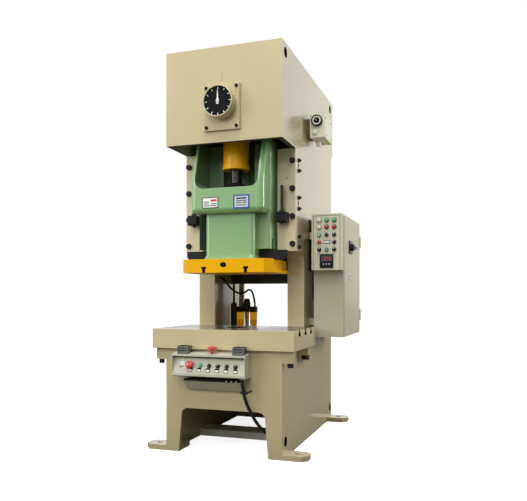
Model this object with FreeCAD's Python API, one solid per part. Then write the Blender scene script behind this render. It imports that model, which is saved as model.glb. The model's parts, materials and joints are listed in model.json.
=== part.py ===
"""Open-back C-frame mechanical stamping press, 80 tonne class.

Lengths are millimetres. X runs to the viewer's right, Y from the front of the press to its rear
and Z up from the floor. Shapes are drawn with Y measured from the frame's front face; export()
moves them so that the origin is the centre of the four foundation bolts, on the floor.
The slide stands at the top of its stroke.
"""
import FreeCAD, Part
import math
import os
from FreeCAD import Vector

# ---- welded frame
FRAME_HALF = 413.0
FRAME_DEPTH = 1456.0
FRAME_TOP = 2705.0
SIDE_PLATE = 35.0
FRONT_PLATE = 30.0
CROWN_PLATE = 40.0
INNER = FRAME_HALF - SIDE_PLATE
CROWN_BASE = 2072.0
COLUMN_Y = 318.0
GUIDE_WALL_Y = 482.0
GUIDE_WALL_THICK = 48.0
REAR_WALL_Y = 1120.0
REAR_WALL_BASE = 1152.0
THROAT_Y = 550.0
THROAT_TOP = 1365.0
THROAT_RADIUS = 70.0
LINING_INNER = 288.0
SEAT_TOP = 700.0
SEAT_PLATE = 50.0
LIFTING_HOLE_R = 34.0
LIFTING_HOLE_Y = (77.0, FRAME_DEPTH - 45.0)
LIFTING_HOLE_Z = (105.0, 2640.0)
SLUG_HATCH = ((-180.0, 180.0), (720.0, 1180.0))

# ---- arch, ears and foundation feet
ARCH_TOP = 298.0
ARCH_HALF_TOP = 294.0
ARCH_HALF_BASE = 318.0
ARCH_RADIUS = 45.0
EAR_HALF = 485.0
EAR_FRONT_BASE = 622.0
EAR_REAR_BASE = 603.0
EAR_REAR_Y = 380.0
BOLT_PITCH_X = 986.0
BOLT_PITCH_Y = 1300.0
FRONT_BOLT_Y = 67.0
FOOT_LENGTH = 138.0
FOOT_HEIGHT = 35.0
FOOT_OUTER = 575.0
FOOT_INNER = 320.0
FOOT_INNER_LENGTH = 178.0
FOOT_BEVEL = 36.0
FOOT_HOLE_R = 17.0

# ---- gibs that guide the slide
GIB_THICK = 40.0
GIB_INNER = 282.0
GIB_BOLT_X = 391.0
GIB_BOLT_Z = (1413.0, 1604.0, 1795.0, 1987.0)
GIB_BOLT_R = 10.0
ADJUSTER_Y = 394.0
ADJUSTER_R = 8.0
ADJUSTER_Z = (1396.0, 1468.0, 1662.0, 1739.0, 1927.0, 2000.0)
LINER = 10.0
WING_HALF = 338.0
WING_Y = (368.0, 472.0)

# ---- bolster
BOLSTER_WIDTH = 1000.0
BOLSTER_DEPTH = 580.0
BOLSTER_THICK = 132.0
BOLSTER_FRONT = -33.0
BOLSTER_HOLE_R = 75.0
T_SLOT_PITCH = 150.0
T_SLOT_END = 200.0
EAR_BOLT_X = 460.0
EAR_BOLT_R = 12.0
EAR_BOLTS = ((30.0, EAR_FRONT_BASE), (404.0, 640.0))
EAR_BOLT_GRIP = 40.0

# ---- slide
PRESS_Y = 257.0
FLANGE_BASE = 1210.0
FLANGE_TOP = 1301.0
FLANGE_Y = (35.0, 495.0)
FLANGE_HALF = 325.0
FLANGE_BEVEL = 48.0
FLANGE_LEDGE = 20.0
FLANGE_REBATE = 30.0
FLANGE_SLOT_X = 150.0
SLIDE_HALF = 268.0
SLIDE_TOP = 2120.0
BOX_FRONT = 60.0
BOX_HALF = 262.0
BOX_BASE = 1612.0
BOX_LEAN_START = 1850.0
BOX_LEAN_Y = 150.0
BOX_CORNER = 36.0
CHEEK = 35.0
POCKET_FLOOR = 1782.0
POCKET_CORNER = 58.0
LOWER_FRONT = 120.0
LOWER_HALF = 176.0
LOWER_CORNER = 28.0
LOWER_FLARE = 16.0
GUIDED_FRONT = 205.0
GUIDED_BASE = 1376.0
BALL_SEAT_R = 66.0
SHANK_HOLE_R = 25.0

# ---- knock-out bar through the slide, with its stops
BAR_SLOT_Y = (236.0, 278.0)
BAR_SLOT_Z = (FLANGE_TOP, 1445.0)
BAR_HALF = 372.0
BAR_HEIGHT = 67.0
BRACKET_X = (297.0, 367.0)
BRACKET_Z = (1557.0, 1627.0)
STOP_X = 330.0
STOP_Y = 272.0
STOP_R = 12.0

# ---- crank drive
STROKE = 160.0
THROW = STROKE / 2
CRANK_Z = 2320.0
EYE_Z = CRANK_Z + THROW
CRANK_JOURNAL_R = 65.0
CRANK_PIN_R = 75.0
CRANK_TAIL_R = 58.0
SPINDLE_R = 12.0
WEB_Y = ((150.0, 188.0), (326.0, 364.0))
ROD_LENGTH = 640.0
BALL_Z = EYE_Z - ROD_LENGTH
ROD_BASE = 1929.0
ROD_BARREL_R = 90.0
ROD_LIP_R = 95.0
ROD_EYE_Y = (192.0, 322.0)
SCREW_R = 44.0
PIN_CLEARANCE = 18.5
RUNNING_FIT = 0.05
FRONT_BEARING_Y = (0.0, 140.0)
REAR_BEARING_Y = (378.0, 560.0)
PINION_BEARINGS_Y = ((GUIDE_WALL_Y, 548.0), (1075.0, 1170.0))
MAIN_BOSS_R = 120.0
PINION_BOSS_R = 95.0
BUSH_R = 80.0
PINION_SHAFT_R = 40.0
PINION_BUSH_R = 52.0

# ---- gears, flywheel and motor
GEAR_MODULE = 7.0
GEAR_TEETH = 80
PINION_TEETH = 16
PRESSURE_ANGLE = math.radians(20)
BACKLASH = 0.5
GEAR_Y = (580.0, 670.0)
WEB_RECESS = 28.0
PINION_Z = CRANK_Z - GEAR_MODULE * (GEAR_TEETH + PINION_TEETH) / 2
FLYWHEEL_R = 340.0
FLYWHEEL_Y = (1232.0, 1392.0)
FLYWHEEL_DISH = 44.0
MOTOR_Z = 1530.0
MOTOR_LENGTH = 420.0
MOTOR_HOLE_R = 50.0
MOTOR_PULLEY_R = 68.0
BELT_COUNT = 3
BELT_PITCH = 32.0
BELT_WIDTH = 12.0
GROOVE_DEPTH = 17.0

# ---- covers and crank angle dial
SHEET = 4.0
COVER_BASE = 2240.0
COVER_DEPTH = 54.0
GUARD_SLOTS = 7
DIAL_PLATE_HALF = 128.0
DIAL_PLATE_Z = (2146.0, 2450.0)
DIAL_PLATE_THICK = 18.0
DIAL_HOUSING_R = 106.0
DIAL_BORE_R = 20.0
DIAL_FACE_Y = -78.0

# ---- air supply
GAUGE_BOX_X = (443.0, 553.0)
GAUGE_BOX_Y = (600.0, 845.0)
GAUGE_BOX_Z = (2202.0, 2375.0)
GAUGE_X = 497.0
GAUGE_Z = 2324.0
KNOB_X = 489.0
KNOB_Y = 676.0
AIR_UNIT_Y = 1100.0
FILTER_X = -286.0
LUBRICATOR_X = -168.0
REGULATOR_X = -226.0
BOWL_R = 31.0
BOWL_Z = (801.0, 915.0)
RECEIVER_X = -311.0
RECEIVER_Y = 1015.0
RECEIVER_R = 25.0
HOSE_R = 8.0
HOSE_ROUTE = (
    (-378, 885, 1197), (-352, 885, 1197), (-350, 1034, 1110), (-262, 1068, 1056), (-186, 1085, 1122),
    (-154, 1094, 1010), (-154, 1094, 962),
)

# ---- operator console
CONSOLE_X = (-319.0, 197.0)
CONSOLE_DEPTH = 105.0
CONSOLE_Z = (524.0, 684.0)
CONSOLE_SHEET = 3.0
PANEL_TOP_Y = -72.0
PANEL_BASE_Y = -101.0
PANEL_TOP_Z = 646.0
PANEL_BASE_Z = 540.0
CONSOLE_BUTTON_Z = 598.0
CONSOLE_CONTROLS_X = (-191.0, -121.0, -58.0, 4.0, 65.0, 127.0)
PALM_X = (-242.0, 148.0)
ESTOP_X = -45.0
TOP_CONTROL_Y = -70.0
CONTROL_HOLE_R = 9.0
STEM_R = 8.9
CONDUIT_R = 11.0
CONDUIT_ROUTE = (
    (172, -84, 524), (172, -84, 452), (194, -26, 318), (252, 50, 176), (322, 134, 110), (378, 134, 110),
)

# ---- control cabinet
CABINET_X = (472.0, 690.0)
CABINET_REAR = 1270.0
CABINET_FRONT = 604.0
CABINET_Z = (756.0, 1237.0)
CABINET_SHEET = 3.0
PANEL_FRONT = 535.0
PANEL_TOP = 1638.0
CONTROL_COLUMNS = (528.0, 582.0, 636.0)
CONTROL_ROWS = (1593.0, 1544.0, 1488.0, 1437.0, 1383.0)
OPERATOR_CONTROLS = ((0, 2), (1, 2), (0, 3))
DOOR_GAP = 0.5
DOOR_THICK = 3.0
DOOR_Y = (616.0, 1256.0)
DOOR_Z = (772.0, 1622.0)
DOOR_FACE = CABINET_X[1] + DOOR_GAP + DOOR_THICK
HINGE_X = CABINET_X[1] + 6.0
HINGE_Y = 1263.0
HINGE_R = 5.5
HINGE_PIN_R = 2.5
HINGE_Z = (900.0, 1490.0)
ISOLATOR_Y = 846.0
ISOLATOR_Z = 1416.0

X_AXIS = Vector(1, 0, 0)
Y_AXIS = Vector(0, 1, 0)
Z_AXIS = Vector(0, 0, 1)


# ---------------------------------------------------------------- drawing helpers
def box(x, y, z):
    """Block between two limits on each axis."""
    return Part.makeBox(x[1] - x[0], y[1] - y[0], z[1] - z[0], Vector(x[0], y[0], z[0]))


def rod_y(radius, y, x=0.0, z=0.0):
    """Round bar along Y."""
    return Part.makeCylinder(radius, y[1] - y[0], Vector(x, y[0], z), Y_AXIS)


def rod_x(radius, x, y, z):
    """Round bar along X."""
    return Part.makeCylinder(radius, x[1] - x[0], Vector(x[0], y, z), X_AXIS)


def rod_z(radius, z, x=0.0, y=0.0):
    """Round bar along Z."""
    return Part.makeCylinder(radius, z[1] - z[0], Vector(x, y, z[0]), Z_AXIS)


def ring_y(outer, inner, y, x=0.0, z=0.0):
    """Bush or rim along Y."""
    return rod_y(outer, y, x, z).cut(rod_y(inner, (y[0] - 1, y[1] + 1), x, z))


def sideways(axis):
    """A direction square to an axis."""
    return X_AXIS if abs(axis.z) > 0.5 else Z_AXIS


def many_sided(radius, length, base, axis, sides):
    """Regular bar with a number of sides, from a base point along an axis."""
    side = sideways(axis)
    other = axis.cross(side)
    corners = []
    for step in range(sides + 1):
        angle = 2 * math.pi * step / sides
        corners.append(base + side * (radius * math.cos(angle)) + other * (radius * math.sin(angle)))
    return Part.Face(Part.makePolygon(corners)).extrude(axis * length)


def hexagon(across_flats, height, base, axis):
    """Hexagon head standing on a point, along an axis."""
    return many_sided(across_flats / math.sqrt(3), height, base, axis, 6)


def shank(radius, length, base, axis):
    """Bolt shank, or the cutter of its hole, drawn with eight sides."""
    return many_sided(radius, length, base, axis, 8)


def outline(points, place):
    """Closed wire through (a, b) or (a, b, radius) corners; place() puts a and b in space."""
    edges = []
    joints = []
    count = len(points)
    for index, point in enumerate(points):
        here = Vector(point[0], point[1], 0)
        if len(point) == 2:
            joints.append((here, None, here))
            continue
        before = Vector(points[index - 1][0], points[index - 1][1], 0) - here
        after = Vector(points[(index + 1) % count][0], points[(index + 1) % count][1], 0) - here
        before.normalize()
        after.normalize()
        half = before.getAngle(after) / 2
        reach = point[2] / math.tan(half)
        middle = before + after
        middle.normalize()
        crest = here + middle * (point[2] / math.sin(half) - point[2])
        joints.append((here + before * reach, crest, here + after * reach))
    for index, (start, crest, end) in enumerate(joints):
        if crest is not None:
            edges.append(Part.Arc(place(start), place(crest), place(end)).toShape())
        following = joints[(index + 1) % count][0]
        if (following - end).Length > 1e-6:
            edges.append(Part.makeLine(place(end), place(following)))
    return Part.Wire(edges)


def prism_x(points, x):
    """Outline in Y and Z, pulled along X between two limits."""
    wire = outline(points, lambda p: Vector(x[0], p.x, p.y))
    return Part.Face(wire).extrude(Vector(x[1] - x[0], 0, 0))


def prism_y(points, y):
    """Outline in X and Z, pulled along Y between two limits."""
    wire = outline(points, lambda p: Vector(p.x, y[0], p.y))
    return Part.Face(wire).extrude(Vector(0, y[1] - y[0], 0))


def prism_z(points, z):
    """Outline in X and Y, pulled along Z between two limits."""
    wire = outline(points, lambda p: Vector(p.x, p.y, z[0]))
    return Part.Face(wire).extrude(Vector(0, 0, z[1] - z[0]))


def rounded_rectangle(a, b, radius):
    """Corners of a rectangle between two limits each way, all with one radius."""
    return [(a[0], b[0], radius), (a[1], b[0], radius), (a[1], b[1], radius), (a[0], b[1], radius)]


def turned(profile, centre, axis):
    """Solid turned from (radius, height) corners about an axis through a centre."""
    side = sideways(axis)
    corners = [centre + side * radius + axis * height for radius, height in profile]
    face = Part.Face(Part.makePolygon(corners + corners[:1]))
    return face.revolve(centre, axis, 360)


def mirrored(shape):
    """The same piece on the other side of the press."""
    return shape.mirror(Vector(0, 0, 0), X_AXIS)


def pair(shape):
    """A piece and its mirror image, as two separate solids."""
    return Part.makeCompound([shape, mirrored(shape)])


def fused(solids):
    """One solid from overlapping or touching solids."""
    return solids[0].multiFuse(solids[1:]).removeSplitter()


def cut_all(shape, tools):
    """A shape with several others removed from it."""
    return shape.cut(Part.makeCompound(tools))


def t_profile(neck, head, foot, shoulder, top):
    """Outline of a T-slot cutter: half widths of neck and head, and its three levels."""
    return [(-neck, top), (-neck, shoulder), (-head, shoulder), (-head, foot), (head, foot),
            (head, shoulder), (neck, shoulder), (neck, top)]


def bent_tube(route, radius):
    """Tube along straight runs joined by arcs that each fill the shorter run."""
    points = [Vector(*point) for point in route]
    edges = []
    start = points[0]
    tightest = math.inf
    for before, corner, after in zip(points, points[1:], points[2:]):
        back = before - corner
        ahead = after - corner
        reach = 0.45 * min(back.Length, ahead.Length)
        back.normalize()
        ahead.normalize()
        half = back.getAngle(ahead) / 2
        bend = reach * math.tan(half)
        middle = back + ahead
        middle.normalize()
        first = corner + back * reach
        last = corner + ahead * reach
        crest = corner + middle * (bend / math.sin(half) - bend)
        edges.append(Part.makeLine(start, first))
        edges.append(Part.Arc(first, crest, last).toShape())
        start = last
        tightest = min(tightest, bend)
    edges.append(Part.makeLine(start, points[-1]))
    path = Part.Wire(edges)
    section = Part.Wire(Part.makeCircle(radius, points[0], points[1] - points[0]))
    print("tube length", round(path.Length), "tightest bend", round(tightest, 1))
    return path.makePipeShell([section], True, False)


# ---------------------------------------------------------------- welded frame
def side_plate():
    """Right side plate: C outline with a round throat corner, four lifting holes."""
    gib_face = COLUMN_Y + GIB_THICK
    plate = prism_x([
        (0, 0), (0, SEAT_TOP), (THROAT_Y, SEAT_TOP), (THROAT_Y, THROAT_TOP, THROAT_RADIUS),
        (gib_face, THROAT_TOP), (gib_face, CROWN_BASE), (0, CROWN_BASE), (0, FRAME_TOP),
        (FRAME_DEPTH, FRAME_TOP), (FRAME_DEPTH, 0),
    ], (INNER, FRAME_HALF))
    holes = []
    for y in LIFTING_HOLE_Y:
        for z in LIFTING_HOLE_Z:
            holes.append(rod_x(LIFTING_HOLE_R, (INNER - 1, FRAME_HALF + 1), y, z))
    return cut_all(plate, holes)


def throat_lining():
    """Bent flange that follows the throat on the inner side of the right side plate."""
    end = THROAT_Y - THROAT_RADIUS - 1
    outer_y = THROAT_Y + FRONT_PLATE
    outer_z = THROAT_TOP + FRONT_PLATE
    foot_z = SEAT_TOP - 15
    return prism_x([
        (THROAT_Y, foot_z), (THROAT_Y, THROAT_TOP, THROAT_RADIUS), (end, THROAT_TOP), (end, outer_z),
        (outer_y, outer_z, THROAT_RADIUS + FRONT_PLATE), (outer_y, foot_z),
    ], (LINING_INNER, INNER))


def guide_side():
    """Thick bar inside the right column that carries the adjustable gib."""
    return box((WING_HALF + LINER, INNER), (COLUMN_Y + GIB_THICK, GUIDE_WALL_Y), (THROAT_TOP, CROWN_BASE))


def ears():
    """Right-hand ears under the bolster; the rear one is notched for its bolt's head."""
    front = box((INNER, EAR_HALF), (0, 58), (EAR_FRONT_BASE, SEAT_TOP))
    rear = box((INNER, EAR_HALF), (EAR_REAR_Y, THROAT_Y), (EAR_REAR_BASE, SEAT_TOP))
    bolt_y, seat = EAR_BOLTS[1]
    notch = box((EAR_BOLT_X - 24, EAR_HALF + 1), (EAR_REAR_Y - 1, bolt_y + 26), (EAR_REAR_BASE - 1, seat))
    return [front, rear.cut(notch)]


def arch_apron():
    """Front plate of the lower body with the arch between the legs and the bolster ears."""
    return prism_y([
        (-FRAME_HALF, 0), (-FRAME_HALF, EAR_FRONT_BASE), (-EAR_HALF, EAR_FRONT_BASE), (-EAR_HALF, SEAT_TOP),
        (EAR_HALF, SEAT_TOP), (EAR_HALF, EAR_FRONT_BASE), (FRAME_HALF, EAR_FRONT_BASE), (FRAME_HALF, 0),
        (ARCH_HALF_BASE, 0), (ARCH_HALF_TOP, ARCH_TOP, ARCH_RADIUS), (-ARCH_HALF_TOP, ARCH_TOP, ARCH_RADIUS),
        (-ARCH_HALF_BASE, 0),
    ], (0, FRONT_PLATE))


def foot(offset):
    """Floor plate under a right-hand corner, with its foundation bolt hole."""
    plate = prism_z([
        (FOOT_INNER, 0), (FOOT_OUTER - FOOT_BEVEL, 0), (FOOT_OUTER, FOOT_BEVEL),
        (FOOT_OUTER, FOOT_LENGTH - FOOT_BEVEL), (FOOT_OUTER - FOOT_BEVEL, FOOT_LENGTH),
        (FRAME_HALF, FOOT_LENGTH), (INNER, FOOT_INNER_LENGTH), (FOOT_INNER, FOOT_INNER_LENGTH),
    ], (0, FOOT_HEIGHT))
    plate = plate.cut(rod_z(FOOT_HOLE_R, (-1, FOOT_HEIGHT + 1), BOLT_PITCH_X / 2, FRONT_BOLT_Y))
    plate.translate(Y_AXIS * offset)
    return plate


def cross_plates():
    """Plates that join the two side plates."""
    span = (-INNER - 1, INNER + 1)
    roof = FRAME_TOP - 1
    return [
        box(span, (0, CROWN_PLATE), (CROWN_BASE, FRAME_TOP)),
        box(span, (0, FRAME_DEPTH), (FRAME_TOP - SIDE_PLATE, FRAME_TOP)),
        arch_apron(),
        box(span, (0, THROAT_Y), (SEAT_TOP - SEAT_PLATE, SEAT_TOP)),
        box(span, (THROAT_Y, FRAME_DEPTH), (SEAT_TOP - SEAT_PLATE, SEAT_TOP - 10)),
        box(span, (490, 675), (0, 52)),
        box(span, (1275, 1300), (0, SEAT_TOP - SEAT_PLATE + 1)),
        box(span, (GUIDE_WALL_Y, GUIDE_WALL_Y + GUIDE_WALL_THICK), (THROAT_TOP, roof)),
        box(span, (REAR_WALL_Y, REAR_WALL_Y + SIDE_PLATE), (REAR_WALL_BASE, roof)),
        box(span, (GUIDE_WALL_Y, REAR_WALL_Y + 1), (THROAT_TOP, THROAT_TOP + FRONT_PLATE)),
        box(span, (REAR_WALL_Y, FRAME_DEPTH), (1340, 1370)),
    ]


def bearing_bosses():
    """Round bosses of the crankshaft's and the pinion shaft's bearings."""
    return [
        rod_y(MAIN_BOSS_R, (1, FRONT_BEARING_Y[1]), 0, CRANK_Z),
        rod_y(MAIN_BOSS_R, REAR_BEARING_Y, 0, CRANK_Z),
        rod_y(PINION_BOSS_R, PINION_BEARINGS_Y[0], 0, PINION_Z),
        rod_y(PINION_BOSS_R, PINION_BEARINGS_Y[1], 0, PINION_Z),
    ]


def frame_bores():
    """Cutters of the bearings, the bolster and slug openings, the motor shaft and the bolt holes."""
    bores = [
        rod_y(BUSH_R, (-1, FRONT_BEARING_Y[1] + 1), 0, CRANK_Z),
        rod_y(BUSH_R, (REAR_BEARING_Y[0] - 1, REAR_BEARING_Y[1] + 1), 0, CRANK_Z),
        rod_z(130, (SEAT_TOP - SEAT_PLATE - 1, SEAT_TOP + 1), 0, PRESS_Y),
        box(SLUG_HATCH[0], SLUG_HATCH[1], (SEAT_TOP - SEAT_PLATE - 1, SEAT_TOP - 9)),
        rod_y(MOTOR_HOLE_R, (REAR_WALL_Y - 1, REAR_WALL_Y + SIDE_PLATE + 1), 0, MOTOR_Z),
    ]
    for start, end in PINION_BEARINGS_Y:
        bores.append(rod_y(PINION_BUSH_R, (start - 1, end + 1), 0, PINION_Z))
    adjuster_start = WING_HALF + LINER - 1
    for side in (-1, 1):
        for y, seat in EAR_BOLTS:
            bores.append(shank(EAR_BOLT_R, SEAT_TOP - seat + 2, Vector(side * EAR_BOLT_X, y, seat - 1), Z_AXIS))
        for z in ADJUSTER_Z:
            base = Vector(side * adjuster_start, ADJUSTER_Y, z)
            bores.append(shank(ADJUSTER_R, FRAME_HALF + 1 - adjuster_start, base, X_AXIS * side))
    return bores


def frame_weldment():
    """The one-piece welded C-frame with its bearing bosses bored through."""
    half = [side_plate(), throat_lining(), guide_side(), foot(0), foot(BOLT_PITCH_Y)] + ears()
    solids = half + [mirrored(shape) for shape in half] + cross_plates() + bearing_bosses()
    return cut_all(fused(solids), frame_bores())


# ---------------------------------------------------------------- gibs
def front_gib():
    """Right front gib: a plate clamped on the column edge that holds the slide's wing back."""
    back = COLUMN_Y + GIB_THICK
    plate = prism_z([(GIB_INNER, COLUMN_Y, 3), (FRAME_HALF, COLUMN_Y), (FRAME_HALF, back), (GIB_INNER, back)],
                    (THROAT_TOP, CROWN_BASE))
    holes = [shank(5, 20, Vector(352, COLUMN_Y - 1, 1868), Y_AXIS)]
    for z in GIB_BOLT_Z:
        holes.append(shank(GIB_BOLT_R, GIB_THICK + 2, Vector(GIB_BOLT_X, COLUMN_Y - 1, z), Y_AXIS))
    return cut_all(plate, holes)


def gib_bolts():
    """Eight hexagon bolts with washers that clamp the front gibs."""
    bolts = []
    for side in (-1, 1):
        for z in GIB_BOLT_Z:
            seat = Vector(side * GIB_BOLT_X, COLUMN_Y, z)
            washer = many_sided(21, 4, seat, -Y_AXIS, 12)
            head = hexagon(34, 15, seat - Y_AXIS * 4, -Y_AXIS)
            bolts.append(fused([washer, head, shank(GIB_BOLT_R - 0.2, GIB_THICK, seat, Y_AXIS)]))
    return Part.makeCompound(bolts)


def gib_adjusters():
    """Side screws with lock nuts that set the running clearance, in pairs."""
    screws = []
    depth = FRAME_HALF - WING_HALF - LINER
    for side in (-1, 1):
        outward = X_AXIS * side
        for z in ADJUSTER_Z:
            face = Vector(side * FRAME_HALF, ADJUSTER_Y, z)
            screw = shank(ADJUSTER_R - 0.2, depth + 22, face - outward * depth, outward)
            screws.append(fused([hexagon(26, 12, face, outward), screw]))
    return Part.makeCompound(screws)


def gib_liners():
    """Bronze strips on the three guide faces of each column."""
    z = (THROAT_TOP + FRONT_PLATE + 4, CROWN_BASE - 4)
    x = (GIB_INNER + 4, WING_HALF - 4)
    strips = [
        box(x, (COLUMN_Y + GIB_THICK, WING_Y[0]), z),
        box((WING_HALF, WING_HALF + LINER), (WING_Y[0] + 4, WING_Y[1] - 4), z),
        box(x, (WING_Y[1], GUIDE_WALL_Y), z),
    ]
    return Part.makeCompound(strips + [mirrored(strip) for strip in strips])


# ---------------------------------------------------------------- bolster
def bolster():
    """Machined table plate with three T-slots at each side of the round knock-out hole."""
    half = BOLSTER_WIDTH / 2
    top = SEAT_TOP + BOLSTER_THICK
    plate = box((-half, half), (BOLSTER_FRONT, BOLSTER_FRONT + BOLSTER_DEPTH), (SEAT_TOP, top))
    cutters = [rod_z(BOLSTER_HOLE_R, (SEAT_TOP - 1, top + 1), 0, PRESS_Y)]
    profile = t_profile(14, 25, top - 42, top - 22, top + 1)
    for offset in (-T_SLOT_PITCH, 0.0, T_SLOT_PITCH):
        row = [(y + PRESS_Y + offset, z) for y, z in profile]
        cutters.append(prism_x(row, (-half - 1, -T_SLOT_END)))
        cutters.append(prism_x(row, (T_SLOT_END, half + 1)))
    for side in (-1, 1):
        for y, _ in EAR_BOLTS:
            cutters.append(shank(EAR_BOLT_R, EAR_BOLT_GRIP + 2, Vector(side * EAR_BOLT_X, y, SEAT_TOP - 1), Z_AXIS))
    return cut_all(plate, cutters)


def bolster_bolts():
    """Four hexagon bolts that pull the bolster down on the frame's ears."""
    bolts = []
    for side in (-1, 1):
        for y, seat in EAR_BOLTS:
            under = Vector(side * EAR_BOLT_X, y, seat)
            grip = shank(EAR_BOLT_R - 0.2, SEAT_TOP - seat + EAR_BOLT_GRIP, under, Z_AXIS)
            bolts.append(fused([hexagon(36, 30, under, -Z_AXIS), grip]))
    return Part.makeCompound(bolts)


# ---------------------------------------------------------------- slide
def upper_box():
    """Wide upper box: its front leans back towards the top, every outer edge is cast round."""
    back = WING_Y[0]
    block = prism_x([(BOX_FRONT, BOX_BASE), (BOX_FRONT, BOX_LEAN_START, 260), (BOX_LEAN_Y, SLIDE_TOP),
                     (back, SLIDE_TOP), (back, BOX_BASE)], (-BOX_HALF, BOX_HALF))
    return block.makeFillet(BOX_CORNER, [edge for edge in block.Edges if is_cast_edge(edge)])


def is_cast_edge(edge):
    """True on the upper box's front corners and on the front and side edges of its underside."""
    bounds = edge.BoundBox
    front_corner = abs(edge.CenterOfMass.x) > BOX_HALF - 1 and bounds.YMax < BOX_LEAN_Y + 1
    underside = bounds.ZMax < BOX_BASE + 1 and bounds.YMin < BOX_FRONT + 1
    return front_corner or underside


def front_pocket():
    """Cutter of the pocket between the cheeks, flared where it meets the sloping front."""
    half = BOX_HALF - CHEEK
    top = SLIDE_TOP + 1
    straight = prism_y([(-half, top), (-half, POCKET_FLOOR, POCKET_CORNER), (half, POCKET_FLOOR, POCKET_CORNER),
                        (half, top)], (BOX_FRONT - 1, 312))
    rod_bay = prism_y([(-118, top), (-118, POCKET_FLOOR, 30), (118, POCKET_FLOOR, 30), (118, top)], (300, 392))
    seat = turned([(0, BALL_Z - 75), (BALL_SEAT_R, BALL_Z - 75), (BALL_SEAT_R, POCKET_FLOOR + 2),
                   (0, POCKET_FLOOR + 2)], Vector(0, PRESS_Y, 0), Z_AXIS)
    return [straight, rod_bay, seat]


def lower_box():
    """Narrower box between the upper box and the flange, flared where it meets the flange."""
    back = 430
    plan = [(-LOWER_HALF, LOWER_FRONT, LOWER_CORNER), (LOWER_HALF, LOWER_FRONT, LOWER_CORNER),
            (LOWER_HALF, back), (-LOWER_HALF, back)]
    wide = LOWER_HALF + LOWER_FLARE
    front = LOWER_FRONT - LOWER_FLARE
    base_plan = [(-wide, front, LOWER_CORNER + 10), (wide, front, LOWER_CORNER + 10), (wide, back), (-wide, back)]
    low = outline(base_plan, lambda p: Vector(p.x, p.y, FLANGE_TOP - 1))
    high = outline(plan, lambda p: Vector(p.x, p.y, FLANGE_TOP + 34))
    return [prism_z(plan, (FLANGE_TOP - 1, BOX_BASE + BOX_CORNER)), Part.makeLoft([low, high], True, True)]


def slide_flange():
    """Die mounting flange with bevelled corners, side ledges, T-slots and a shank hole."""
    front, rear = FLANGE_Y
    chamfer = 24
    plate = prism_z([
        (-FLANGE_HALF + FLANGE_BEVEL, front), (FLANGE_HALF - FLANGE_BEVEL, front),
        (FLANGE_HALF, front + FLANGE_BEVEL), (FLANGE_HALF, rear - chamfer), (FLANGE_HALF - chamfer, rear),
        (-FLANGE_HALF + chamfer, rear), (-FLANGE_HALF, rear - chamfer), (-FLANGE_HALF, front + FLANGE_BEVEL),
    ], (FLANGE_BASE, FLANGE_TOP))
    slot = t_profile(11, 18, FLANGE_BASE + 40, FLANGE_BASE + 26, FLANGE_BASE - 1)
    cutters = []
    for side in (-1, 1):
        edge = sorted((side * (FLANGE_HALF - FLANGE_REBATE), side * (FLANGE_HALF + 1)))
        cutters.append(box(edge, (front + FLANGE_BEVEL + 4, rear + 1), (FLANGE_BASE + FLANGE_LEDGE, FLANGE_TOP + 1)))
        cutters.append(prism_y([(x + side * FLANGE_SLOT_X, z) for x, z in slot], (front - 1, rear + 1)))
    cutters.append(rod_z(SHANK_HOLE_R, (FLANGE_BASE - 1, FLANGE_BASE + 62), 0, PRESS_Y))
    cutters.append(rod_y(15, (front - 1, front + 12), -17, 1262))
    cutters.append(rod_y(5, (front - 1, front + 14), 10, 1256))
    return cut_all(plate, cutters)


def slide():
    """The cast slide: flange, lower box, pocketed upper box and the two guide wings."""
    back = WING_Y[1] - 0.1
    guided = prism_z([(-SLIDE_HALF, GUIDED_FRONT, 30), (SLIDE_HALF, GUIDED_FRONT, 30), (SLIDE_HALF, back),
                      (-SLIDE_HALF, back)], (GUIDED_BASE, SLIDE_TOP))
    wing = WING_HALF - 0.1
    wings = box((-wing, wing), (WING_Y[0] + 0.1, back), (GUIDED_BASE + 20, SLIDE_TOP - 60))
    casting = fused([upper_box(), slide_flange(), guided, wings] + lower_box())
    bar_slot = box((-WING_HALF, WING_HALF), BAR_SLOT_Y, BAR_SLOT_Z)
    return cut_all(casting, front_pocket() + [bar_slot])


def ball_seat_ring():
    """Collar that holds the ball down in the slide."""
    return turned([(60, POCKET_FLOOR), (92, POCKET_FLOOR), (92, POCKET_FLOOR + 14), (62, POCKET_FLOOR + 50),
                   (SCREW_R + 3, POCKET_FLOOR + 50), (SCREW_R + 3, POCKET_FLOOR + 14)],
                  Vector(0, PRESS_Y, 0), Z_AXIS)


def ball_screw():
    """Adjusting screw with its ball in the slide and its thread in the connecting rod."""
    top = ROD_BASE + 126
    return turned([(0, BALL_Z - 62), (38, BALL_Z - 50), (60, BALL_Z - 16), (60, BALL_Z + 12),
                   (SCREW_R, BALL_Z + 34), (SCREW_R, top), (0, top)], Vector(0, PRESS_Y, 0), Z_AXIS)


# ---------------------------------------------------------------- crank drive
def pin_clearance():
    """Long eye round the crank pin: the room that the pin takes sideways in half a turn."""
    reach = CRANK_PIN_R + PIN_CLEARANCE
    return prism_y(rounded_rectangle((-reach, THROW + reach), (EYE_Z - reach, EYE_Z + reach), reach - 0.5),
                   (ROD_EYE_Y[0] - 1, ROD_EYE_Y[1] + 1))


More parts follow.
